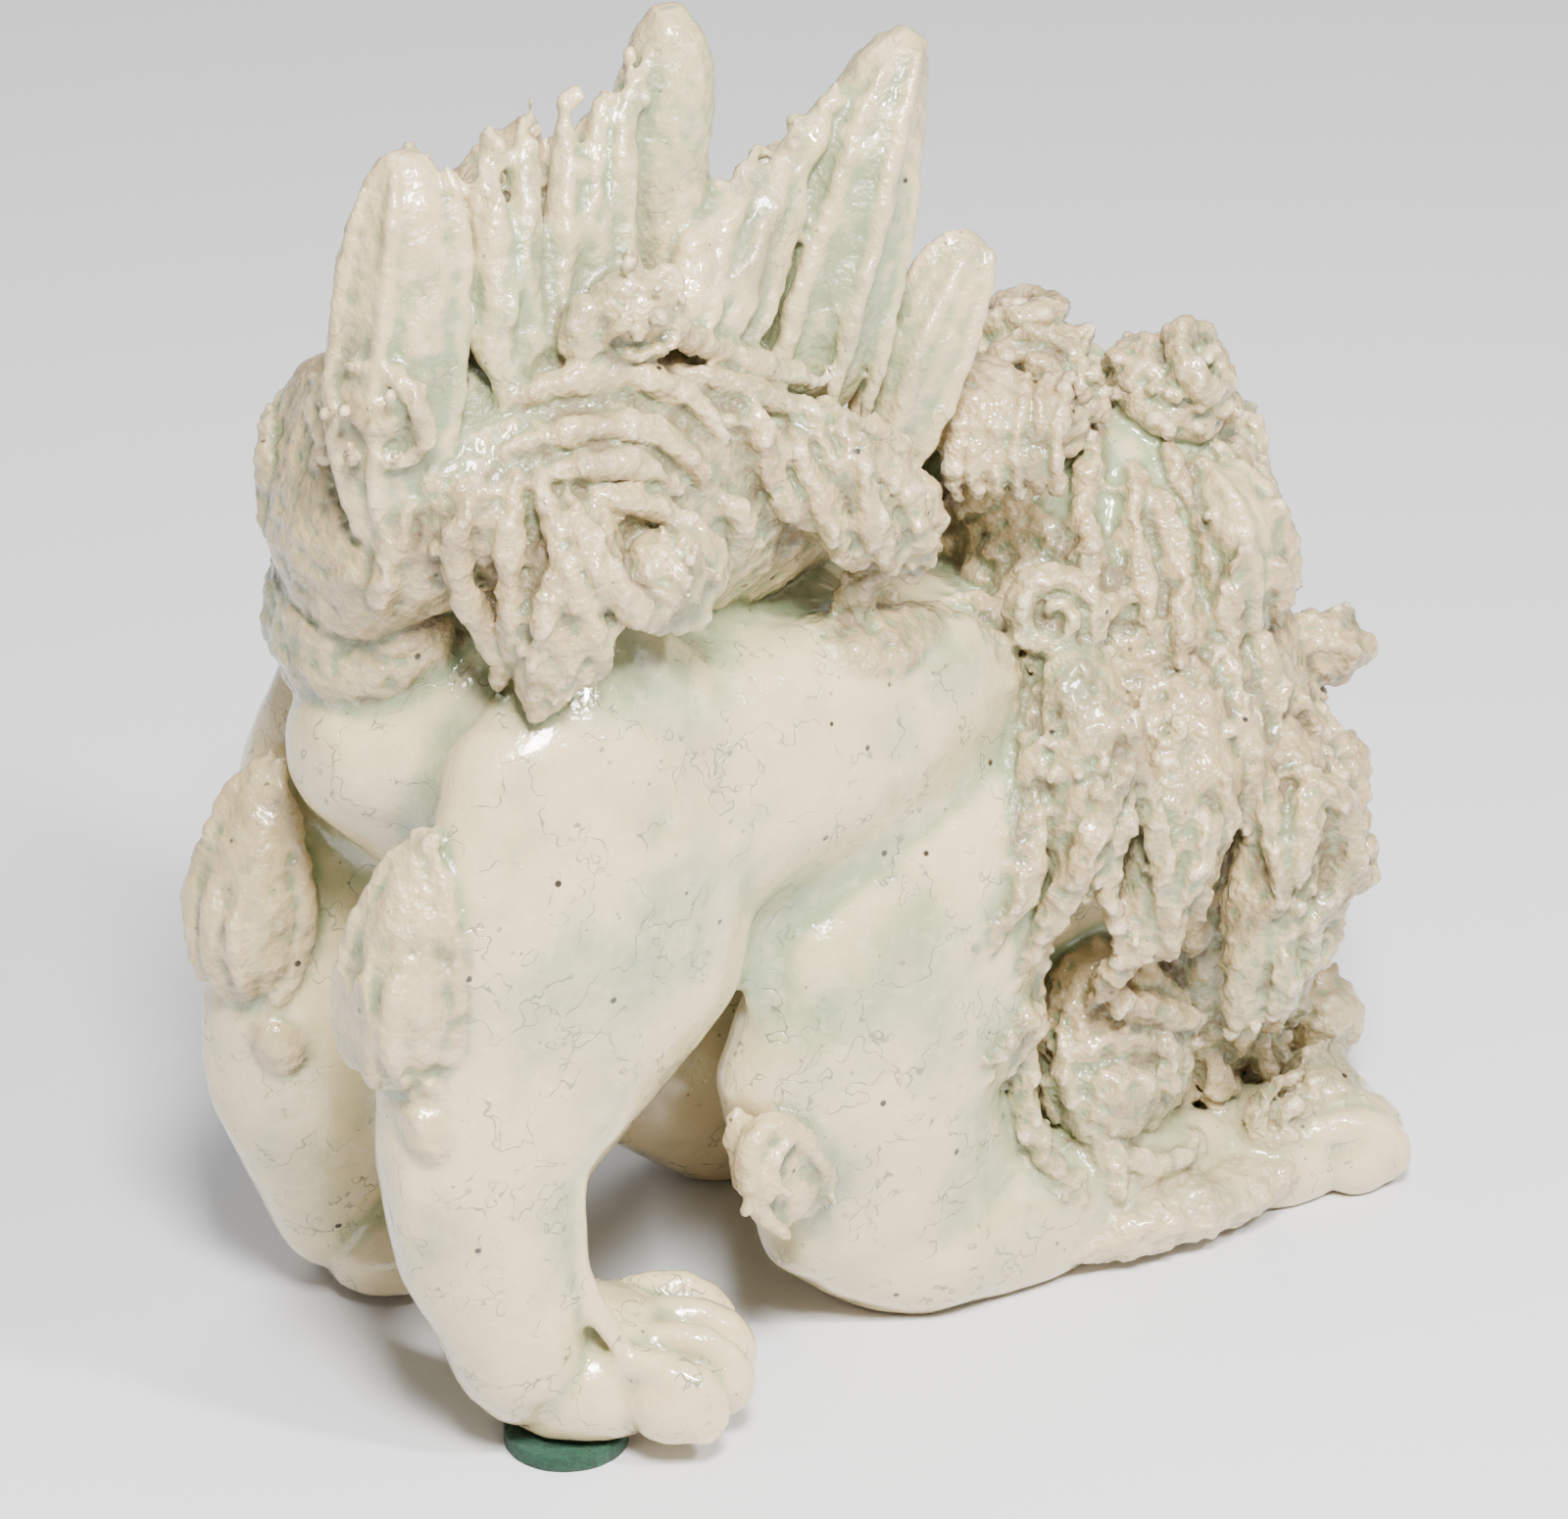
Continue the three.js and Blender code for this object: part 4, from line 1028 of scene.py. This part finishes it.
# Pinholes and other dents: bench point, radius, depth.
DENTS = [
    ((-17.5, -3, 128.5), 0.5, 0.9), ((-56, -20, 52), 0.7, 0.8), ((-57, -20.5, 50), 0.5, 0.6),
    ((-36, -26, 66), 0.35, 0.5), ((10, -22, 40), 0.35, 0.5), ((-47, -17, 100), 0.5, 0.8),
]


class LION_OT_firing(Operator):
    """Lets one skin of glaze flow over all the clay, and parts it again, one piece for each node"""

    bl_idname = "lion.firing"
    bl_label = "Glaze and Fire"

    def gather(self):
        """All the clay as one object, its search tree, and the node of each of its faces."""
        clay = [o for o in bpy.context.scene.objects if "clay_of" in o]
        owner = []
        verts, faces = [], []
        for piece in clay:
            if not piece["clay_of"]:
                continue
            start = len(verts)
            verts += [v.co.copy() for v in piece.data.vertices]
            faces += [[start + i for i in p.vertices] for p in piece.data.polygons]
            owner += [NODES.index(piece["clay_of"])] * len(piece.data.polygons)
        bpy.ops.object.select_all(action="DESELECT")
        for piece in clay:
            piece.select_set(True)
        bpy.context.view_layer.objects.active = clay[0]
        bpy.ops.object.join()
        joined = clay[0]
        del joined["clay_of"]
        return joined, BVHTree.FromPolygons(verts, faces), np.array(owner)

    def owners(self, skin, tree, owner):
        """The node that each face of the skin lies on, with stray specks given to their surroundings."""
        mesh = skin.data
        centres = np.empty(len(mesh.polygons) * 3)
        mesh.polygons.foreach_get("center", centres)
        found = np.array([owner[tree.find_nearest(Vector(c))[2]] for c in centres.reshape(-1, 3)])
        loops = np.empty(len(mesh.loops), np.int64)
        mesh.loops.foreach_get("vertex_index", loops)
        sides = np.empty(len(mesh.polygons), np.int64)
        mesh.polygons.foreach_get("loop_total", sides)
        face_of_loop = np.repeat(np.arange(len(sides)), sides)
        # The label seen most often round each vertex, then round each face, smooths the parting lines.
        for _ in range(3):
            key = loops * len(NODES) + found[face_of_loop]
            keys, counts = np.unique(key, return_counts=True)
            order = np.lexsort((counts, keys // len(NODES)))
            best = np.zeros(len(mesh.vertices), np.int64)
            best[keys[order] // len(NODES)] = keys[order] % len(NODES)
            key = face_of_loop * len(NODES) + best[loops]
            keys, counts = np.unique(key, return_counts=True)
            order = np.lexsort((counts, keys // len(NODES)))
            found[keys[order] // len(NODES)] = keys[order] % len(NODES)
        return found, best

    def shape(self, context, skin, labels, step):
        """Evens the body, roughens the hair, and presses the marks of the hand into both."""
        clay = context.scene.lion_clay
        pairs = edges_of(skin)
        is_hair = np.array([hairiness(n) for n in NODES])[labels]
        hair = relax(is_hair, pairs, int(6 * (0.36 * MM / step) ** 2) + 2)
        group(skin, "hair", hair)
        group(skin, "smooth", 1 - hair)
        per_mm = (0.36 * MM / step) ** 2
        modify(skin, "SMOOTH", factor=0.5, iterations=max(3, int(26 * per_mm)), vertex_group="smooth")
        modify(skin, "SMOOTH", factor=0.5, iterations=2)
        relief(skin, "hand", "CLOUDS", 16 * MM, 2.2 * clay.dimple, "smooth", noise_depth=1)
        relief(skin, "thumb", "CLOUDS", 6 * MM, 0.8 * clay.dimple, "smooth", noise_depth=1)
        points = values_of(skin)
        normals = values_of(skin, "normal")
        even = relax(points, pairs, max(3, int(14 * per_mm)))
        proud = np.einsum("ij,ij->i", points - even, normals) / MM
        group(skin, "torn", hair * np.clip(0.3 + proud * 1.6, 0, 1))
        relief(skin, "torn", "VORONOI", 1.9 * MM, 3.4 * clay.crumb, "torn", noise_intensity=1.4)
        relief(skin, "grit", "CLOUDS", 1.0 * MM, 2.0 * clay.crumb, "torn", noise_depth=1)
        relief(skin, "drawn", "CLOUDS", 3.2 * MM, 2.6 * clay.crumb, "hair", noise_depth=2)
        self.dent(skin)
        return pairs, hair

    def dent(self, skin):
        """Presses the pinholes in, keeps the soles flat and the skin inside the figure's box."""
        points, normals = values_of(skin), values_of(skin, "normal")
        for place, radius, depth in DENTS:
            away = np.linalg.norm(points - to_frame([place])[0], axis=1) / (radius * MM)
            points -= normals * (np.exp(-away**2) * depth * MM)[:, None]
        low, high = (np.array(corner) for corner in CAD_BOX)
        points = np.clip(points, low + 0.05 * MM, high - 0.05 * MM)
        hind = points[:, 0] < to_frame([(-22, 0, 0)])[0][0]
        points[:, 2] = np.maximum(points[:, 2], np.where(hind, PAD_TOP - 0.05 * MM, 0.0))
        skin.data.vertices.foreach_set("co", points.ravel())
        skin.data.update()

    def shades(self, skin, pairs, hair, step):
        """Measures what the glaze reads: how far the skin stands out or lies in, near and far."""
        skin.vertex_groups.clear()
        points, normals = values_of(skin), values_of(skin, "normal")
        per_mm = (0.36 * MM / step) ** 2
        even = points
        for name, passes, gain in (("near", 14, 1.0), ("far", 110, 0.45)):
            even = relax(even, pairs, max(3, int(passes * per_mm)))
            proud = np.einsum("ij,ij->i", points - even, normals) / MM
            attribute(skin, name, np.clip(0.5 + proud * gain, 0, 1))
        attribute(skin, "hair", hair)
        layer = skin.data.attributes.new("flow", "FLOAT_VECTOR", "POINT")
        layer.data.foreach_set("vector", normals.astype(np.float32).ravel())

    def part(self, skin, found):
        """Parts the skin into one object for each node and closes each one."""
        for node in NODES:
            skin.data.materials.append(bpy.data.materials.new(f"part_{node}"))
        skin.data.polygons.foreach_set("material_index", found.astype(np.int32))
        alone(skin)
        bpy.ops.object.mode_set(mode="EDIT")
        bpy.ops.mesh.select_all(action="SELECT")
        bpy.ops.mesh.separate(type="MATERIAL")
        bpy.ops.object.mode_set(mode="OBJECT")
        return list(bpy.context.selected_objects)

    def close(self, piece):
        """Turns a piece's open edge in behind the skin and closes it to a point."""
        alone(piece)
        count = len(piece.data.vertices)
        bpy.ops.object.mode_set(mode="EDIT")
        bpy.ops.mesh.select_mode(type="VERT")
        bpy.ops.mesh.select_all(action="DESELECT")
        bpy.ops.mesh.select_non_manifold()
        mesh = bmesh.from_edit_mesh(piece.data)
        if any(v.select for v in mesh.verts):
            bpy.ops.mesh.extrude_edges_move()
            mesh = bmesh.from_edit_mesh(piece.data)
            flow = mesh.verts.layers.float_vector["flow"]
            for vert in mesh.verts:
                if vert.select:
                    vert.co -= vert[flow] * 0.8 * MM
            bmesh.update_edit_mesh(piece.data)
            bpy.ops.mesh.edge_face_add()
            bpy.ops.mesh.select_all(action="DESELECT")
            bpy.ops.mesh.select_non_manifold()
            bpy.ops.mesh.fill_holes(sides=0)
            bpy.ops.mesh.select_all(action="DESELECT")
            mesh = bmesh.from_edit_mesh(piece.data)
            for face in mesh.faces:
                face.select = len(face.verts) > 4
            bmesh.update_edit_mesh(piece.data)
            bpy.ops.mesh.poke()
            self.wind(piece, count)
        bpy.ops.object.mode_set(mode="OBJECT")
        bpy.ops.object.shade_smooth()

    def wind(self, piece, count):
        """Winds the faces that close a piece the same way as the skin, whose vertices are the first count."""
        mesh = bmesh.from_edit_mesh(piece.data)
        mesh.verts.index_update()
        left = {face for face in mesh.faces if any(v.index >= count for v in face.verts)}
        front = [face for face in mesh.faces if face not in left]
        while front:
            face = front.pop()
            for loop in list(face.loops):
                for other in list(loop.edge.link_loops):
                    if other.face in left:
                        left.remove(other.face)
                        if other.vert == loop.vert:
                            other.face.normal_flip()
                        front.append(other.face)
        bmesh.update_edit_mesh(piece.data)

    def dress(self, piece, node, glaze):
        """Gives a piece its finish and its place in the frame."""
        piece.name = f"glazed_{node}"
        piece.data.name = piece.name
        triangles = sum(len(p.vertices) - 2 for p in piece.data.polygons)
        if triangles > MOST_TRIANGLES:
            modify(piece, "DECIMATE", ratio=MOST_TRIANGLES / triangles)
        count = len(piece.data.vertices)
        flow = np.empty(count * 3)
        piece.data.attributes["flow"].data.foreach_get("vector", flow)
        flow = flow.reshape(-1, 3)
        flow[np.linalg.norm(flow, axis=1) < 0.5] = (0, 0, 0)
        piece.data.normals_split_custom_set_from_vertices(flow.tolist())
        piece.data.attributes.remove(piece.data.attributes["flow"])
        piece.data.materials.clear()
        piece.data.materials.append(glaze)
        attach(piece, BODY)
        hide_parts(node)

    def execute(self, context):
        clay = context.scene.lion_clay
        step = clay.skin_step
        skin, tree, owner = self.gather()
        modify(skin, "REMESH", mode="VOXEL", voxel_size=step)
        found, labels = self.owners(skin, tree, owner)
        pairs, hair = self.shape(context, skin, labels, step)
        self.shades(skin, pairs, hair, step)
        glaze = glaze_material(context.scene.lion_glaze)
        shown = set()
        for piece in self.part(skin, found):
            if piece.type != "MESH" or not piece.data.polygons:
                continue
            node = piece.data.materials[0].name.removeprefix("part_")
            self.close(piece)
            self.dress(piece, node, glaze)
            shown.add(node)
        for node in NODES:
            if node not in shown and "felt" not in node:
                raise RuntimeError(f"no skin was left for {node}")
        return {"FINISHED"}


# ---- Finishes --------------------------------------------------------------------------------------
class Wire:
    """A value in a material, which Python's operators work on."""

    def __init__(self, finish, socket):
        self.finish, self.socket = finish, socket

    def math(self, operation, *others, clamp=False):
        return self.finish.node("ShaderNodeMath", {"operation": operation, "use_clamp": clamp},
                                [self, *others])[0]

    def __add__(self, other): return self.math("ADD", other)
    def __radd__(self, other): return self.math("ADD", other)
    def __sub__(self, other): return self.math("SUBTRACT", other)
    def __rsub__(self, other): return self.finish.value(other, self, "SUBTRACT")
    def __mul__(self, other): return self.math("MULTIPLY", other)
    def __rmul__(self, other): return self.math("MULTIPLY", other)
    def __truediv__(self, other): return self.math("DIVIDE", other)
    def __pow__(self, other): return self.math("POWER", other)

    def band(self, low, high, out_low=0.0, out_high=1.0):
        """This value taken smoothly from low..high to out_low..out_high, and no further."""
        return self.finish.node("ShaderNodeMapRange", {"interpolation_type": "SMOOTHSTEP"},
                                [self, low, high, out_low, out_high])[0]


class Finish:
    """A new material, with a method that adds any node and joins it up."""

    def __init__(self, name):
        self.material = bpy.data.materials.new(name)
        self.material.use_nodes = True
        self.tree = self.material.node_tree
        self.shader = next(n for n in self.tree.nodes if n.type == "BSDF_PRINCIPLED")

    def node(self, kind, settings=None, sockets=()):
        """Adds a node; sockets are values or wires, in order or by name. Returns its shown outputs."""
        made = self.tree.nodes.new(kind)
        for name, value in (settings or {}).items():
            if name == "stops":
                ramp = made.color_ramp
                while len(ramp.elements) < len(value):
                    ramp.elements.new(0.5)
                for element, (place, colour) in zip(ramp.elements, value):
                    element.position, element.color = place, (*colour, 1)
            else:
                setattr(made, name, value)
        pairs = sockets.items() if isinstance(sockets, dict) else enumerate(sockets)
        for key, value in pairs:
            self.plug(made.inputs[key], value)
        return [Wire(self, s) for s in made.outputs if s.enabled]

    def plug(self, socket, value):
        if isinstance(value, Wire):
            self.tree.links.new(value.socket, socket)
        elif value is not None:
            if socket.type == "RGBA" and len(value) == 3:
                value = (*value, 1)
            socket.default_value = value

    def value(self, first, second, operation):
        """A sum that starts with a plain number."""
        return self.node("ShaderNodeMath", {"operation": operation}, [first, second])[0]

    def mix(self, share, low, high, blend="MIX"):
        """A colour between two."""
        made = self.tree.nodes.new("ShaderNodeMix")
        made.data_type, made.blend_type, made.clamp_factor = "RGBA", blend, True
        self.plug(made.inputs[0], share)
        self.plug(made.inputs[6], low)
        self.plug(made.inputs[7], high)
        return Wire(self, made.outputs[2])

    def noise(self, place, scale, detail=3.0, roughness=0.55, distortion=0.0):
        return self.node("ShaderNodeTexNoise", {"noise_dimensions": "3D"},
                         {"Vector": place, "Scale": scale, "Detail": detail, "Roughness": roughness,
                          "Distortion": distortion})

    def cells(self, place, scale, feature="F1", randomness=1.0):
        return self.node("ShaderNodeTexVoronoi", {"feature": feature, "voronoi_dimensions": "3D"},
                         {"Vector": place, "Scale": scale, "Randomness": randomness})

    def stored(self, name):
        """A value stored on the piece's vertices."""
        made = self.tree.nodes.new("ShaderNodeAttribute")
        made.attribute_name = name
        return Wire(self, made.outputs["Fac"])


def glaze_material(colours):
    """Celadon glaze: cream where it runs thin, green where it pools, over toasted clay with iron specks, and painted
    shade in the hair's hollows.
    """
    f = Finish("celadon_glaze")
    place = f.node("ShaderNodeTexCoord")[3]
    near, far, hair = f.stored("near"), f.stored("far"), f.stored("hair")
    broad = f.noise(place, 48, 2)[0]
    patch = f.noise(place, 150, 4)[0]
    mottle = f.noise(place, 620, 4, 0.6)[0]
    grain = f.noise(place, 2400, 3, 0.6)[0]
    # Hair starts from a browner ground than the smooth body.
    ground = f.mix(hair * 0.8, tuple(colours.cream), (0.42, 0.295, 0.135))
    pooled = (0.60 - near).band(0.0, 0.34) * 0.8 + (0.56 - far).band(-0.03, 0.30) * 0.5
    green = (pooled + (broad - 0.47) * 2.0 + (patch - 0.5) * 1.2).band(0.0, 0.85)
    colour = f.mix(green * 0.9, ground, tuple(colours.celadon))
    colour = f.mix((mottle - 0.5).band(0.0, 0.3) * 0.4, colour, (0.76, 0.65, 0.44))
    colour = f.mix((patch - 0.52).band(0.0, 0.16) * (1 - hair) * 0.35, colour, (0.66, 0.49, 0.30))
    # Darker brown in the hair's hollows, more where the skin lies in: partly toasted clay and crust, partly painted
    # shade.
    toasted_and_shaded = hair * ((0.52 - far).band(-0.06, 0.26) * 0.85 + (patch - 0.44).band(0.0, 0.2) * 0.6)
    toasted_and_shaded = toasted_and_shaded * (0.4 + 0.6 * mottle.band(0.35, 0.65))
    colour = f.mix(toasted_and_shaded.math("MINIMUM", 0.85), colour, tuple(colours.toast_and_shade))
    crest = hair * (near - 0.56).band(0.0, 0.28)
    colour = f.mix(crest * mottle.band(0.42, 0.6) * 0.5, colour, (0.80, 0.69, 0.48))
    colour = f.mix(crest * patch.band(0.5, 0.62) * grain.band(0.45, 0.6) * 0.7, colour, (0.30, 0.185, 0.085))
    height = f.node("ShaderNodeSeparateXYZ", sockets=[place])[2]
    foot = (1 - (height + (patch - 0.5) * 0.02).band(0.0, 0.018)) * 0.6
    colour = f.mix(foot, colour, (0.68, 0.52, 0.29))
    web = f.cells(f.mix(0.012, place, f.noise(place, 260, 2)[1], "ADD"), 105, "DISTANCE_TO_EDGE")[0]
    crackle = (1 - web.band(0.0, 0.022)) * (patch - 0.43).band(0.0, 0.12) * (1 - hair) * mottle.band(0.33, 0.55)
    colour = f.mix(crackle * 0.8, colour, (0.12, 0.14, 0.095))
    scuff = f.noise(place, 1100, 5, 0.7, 0.6)[0].band(0.60, 0.70) * broad.band(0.40, 0.62)
    colour = f.mix(scuff * 0.45, colour, (0.24, 0.27, 0.20))
    for scale, size, kept, tint, strength in ((230, 0.10, 0.60, tuple(colours.speck), 1.0),
                                              (620, 0.13, 0.74, (0.12, 0.10, 0.065), 0.7),
                                              (120, 0.05, 0.78, (0.42, 0.16, 0.04), 0.8)):
        spot = f.cells(place, scale)
        chosen = f.node("ShaderNodeSeparateColor", sockets=[spot[1]])[0]
        dot = (1 - spot[0].band(size * 0.55, size)) * chosen.band(kept, kept + 0.02)
        colour = f.mix(dot * strength, colour, tint)
    shader = f.shader
    f.plug(shader.inputs["Base Color"], colour)
    rough = 0.10 + 0.12 * mottle.band(0.3, 0.75) + 0.38 * toasted_and_shaded + 0.10 * crest
    f.plug(shader.inputs["Roughness"], rough)
    f.plug(shader.inputs["Coat Weight"], (0.75 - 0.7 * toasted_and_shaded).math("MAXIMUM", 0.0))
    lumps = f.noise(place, 300, 3)[0]
    crust = f.cells(place, 1300)[0]
    pits = f.cells(place, 800)[0].band(0.05, 0.26)
    height_map = lumps * 1.1 + grain * (0.10 + 0.8 * hair) + pits * 0.16 + mottle * (0.3 + 1.1 * hair)
    height_map = height_map - crackle * 0.35 + hair * crust * 0.9 - scuff * 0.15
    bump = f.node("ShaderNodeBump", {}, {"Strength": 0.5, "Distance": 0.00045, "Height": height_map})[0]
    f.plug(shader.inputs["Normal"], bump)
    shader.inputs["IOR"].default_value = 1.5
    shader.inputs["Coat Roughness"].default_value = 0.03
    return f.material


def felt_material(colours):
    """Pressed green wool felt, its cut edge fuzzy and browned."""
    f = Finish("green_felt")
    place = f.node("ShaderNodeTexCoord")[3]
    fibre = f.noise(place, 1500, 4, 0.7, 1.2)[0]
    cloud = f.noise(place, 240, 3)[0]
    colour = f.mix(fibre.band(0.35, 0.7), tuple(colours.felt), (0.008, 0.065, 0.03))
    height = f.node("ShaderNodeSeparateXYZ", sockets=[place])[2]
    browned = (1 - (height + (cloud - 0.5) * 0.002).band(0.0, 0.0006)) * cloud.band(0.4, 0.7)
    colour = f.mix(browned * 0.5, colour, (0.09, 0.06, 0.03))
    f.plug(f.shader.inputs["Base Color"], colour)
    f.plug(f.shader.inputs["Roughness"], 0.86 + 0.12 * fibre)
    bump = f.node("ShaderNodeBump", {}, {"Strength": 0.8, "Distance": 0.0003, "Height": fibre + cloud * 0.5})[0]
    f.plug(f.shader.inputs["Normal"], bump)
    f.shader.inputs["Sheen Weight"].default_value = 0.08
    f.shader.inputs["Sheen Roughness"].default_value = 0.6
    return f.material


def paint_material(name, colour):
    """Matt studio paint with a faint unevenness."""
    f = Finish(name)
    place = f.node("ShaderNodeTexCoord")[3]
    cloud = f.noise(place, 3, 2)[0]
    shade = f.mix(cloud.band(0.3, 0.7) * 0.06, tuple(colour), (1, 1, 1))
    f.plug(f.shader.inputs["Base Color"], shade)
    f.shader.inputs["Roughness"].default_value = 0.55
    return f.material


# ---- Operator: stage -------------------------------------------------------------------------------
def softbox(name, place, aim, size, power, colour=(1, 1, 1)):
    """A rectangular softbox at place, in bench millimetres, turned to aim."""
    lamp = bpy.data.lights.new(name, "AREA")
    lamp.shape, lamp.size, lamp.size_y = "RECTANGLE", size[0] * MM, size[1] * MM
    lamp.energy, lamp.color = power, colour
    piece = bpy.data.objects.new(name, lamp)
    bpy.context.scene.collection.objects.link(piece)
    start, end = (Vector(to_frame([p])[0]) for p in (place, aim))
    piece.location = start
    piece.rotation_mode = "QUATERNION"
    piece.rotation_quaternion = (end - start).to_track_quat("-Z", "Y")
    return piece


class LION_OT_stage(Operator):
    """Sets the floor, the softboxes and the camera"""

    bl_idname = "lion.stage"
    bl_label = "Stage"

    def execute(self, context):
        studio = context.scene.lion_studio
        target = Vector((-3, 1.5, 52))
        azimuth, height, away = math.radians(-35), math.radians(27), 600
        back = Vector((math.sin(azimuth) * math.cos(height), -math.cos(azimuth) * math.cos(height),
                       math.sin(height)))
        lens = bpy.data.cameras.new("studio_camera")
        lens.sensor_width, lens.lens = 36, studio.lens
        lens.clip_start, lens.clip_end = 0.01, 20
        camera = bpy.data.objects.new("studio_camera", lens)
        context.scene.collection.objects.link(camera)
        camera.location = Vector(to_frame([target + back * away])[0])
        camera.rotation_mode = "QUATERNION"
        camera.rotation_quaternion = (-back).to_track_quat("-Z", "Y")
        context.scene.camera = camera
        bpy.ops.object.select_all(action="DESELECT")
        bpy.ops.mesh.primitive_circle_add(vertices=96, radius=1.6, fill_type="NGON")
        floor = context.active_object
        floor.name = "studio_floor"
        bpy.ops.object.mode_set(mode="EDIT")
        for lift, reach in ((0.02, 1.06), (0.10, 1.05), (0.30, 1.05), (0.8, 1.03), (1.2, 1.0)):
            bpy.ops.mesh.extrude_region_move(TRANSFORM_OT_translate={"value": (0, 0, lift)})
            bpy.ops.transform.resize(value=(reach, reach, 1))
        bpy.ops.mesh.delete(type="ONLY_FACE")
        bpy.ops.mesh.select_all(action="SELECT")
        bpy.ops.mesh.normals_make_consistent(inside=True)
        bpy.ops.object.mode_set(mode="OBJECT")
        bpy.ops.object.shade_smooth()
        floor.data.materials.append(paint_material("backdrop_paint", studio.backdrop))
        softbox("key_softbox", (-200, -360, 600), (-10, 0, 55), (140, 170), studio.key_power)
        softbox("window_softbox", (90, -430, 520), (0, 0, 55), (45, 80), studio.key_power * 0.36)
        softbox("right_softbox", (420, -360, 300), (10, 0, 50), (200, 300), studio.fill_power)
        softbox("top_softbox", (80, 260, 760), (0, 0, 60), (500, 300), 2.2)
        world = bpy.data.worlds.new("studio_air")
        world.use_nodes = True
        world.node_tree.nodes["Background"].inputs["Color"].default_value = (0.93, 0.95, 1, 1)
        world.node_tree.nodes["Background"].inputs["Strength"].default_value = 0.31
        context.scene.world = world
        return {"FINISHED"}


# ---- Panel and registration ------------------------------------------------------------------------
STEPS = (LION_OT_felt_pads, LION_OT_body, LION_OT_paws, LION_OT_tufts, LION_OT_head, LION_OT_mane,
         LION_OT_tail, LION_OT_firing, LION_OT_stage)


class LION_PT_workshop(Panel):
    """Lists the pieces, in the order of work"""

    bl_label = "Guardian Lion"
    bl_space_type = "VIEW_3D"
    bl_region_type = "UI"
    bl_category = "Lion"

    def draw(self, context):
        for step in STEPS:
            self.layout.operator(step.bl_idname)
        for settings in (context.scene.lion_clay, context.scene.lion_glaze, context.scene.lion_studio):
            box = self.layout.box()
            for name in settings.__annotations__:
                box.prop(settings, name)


CLASSES = (LionClay, LionGlaze, LionStudio, *STEPS, LION_PT_workshop)


def register():
    for cls in CLASSES:
        bpy.utils.register_class(cls)
    bpy.types.Scene.lion_clay = PointerProperty(type=LionClay)
    bpy.types.Scene.lion_glaze = PointerProperty(type=LionGlaze)
    bpy.types.Scene.lion_studio = PointerProperty(type=LionStudio)


def unregister():
    del bpy.types.Scene.lion_clay, bpy.types.Scene.lion_glaze, bpy.types.Scene.lion_studio
    for cls in reversed(CLASSES):
        bpy.utils.unregister_class(cls)


def main():
    """Registers the workshop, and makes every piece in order."""
    register()
    for step in STEPS:
        getattr(bpy.ops.lion, step.bl_idname.split(".")[1])()


if __name__ == "__main__":
    main()
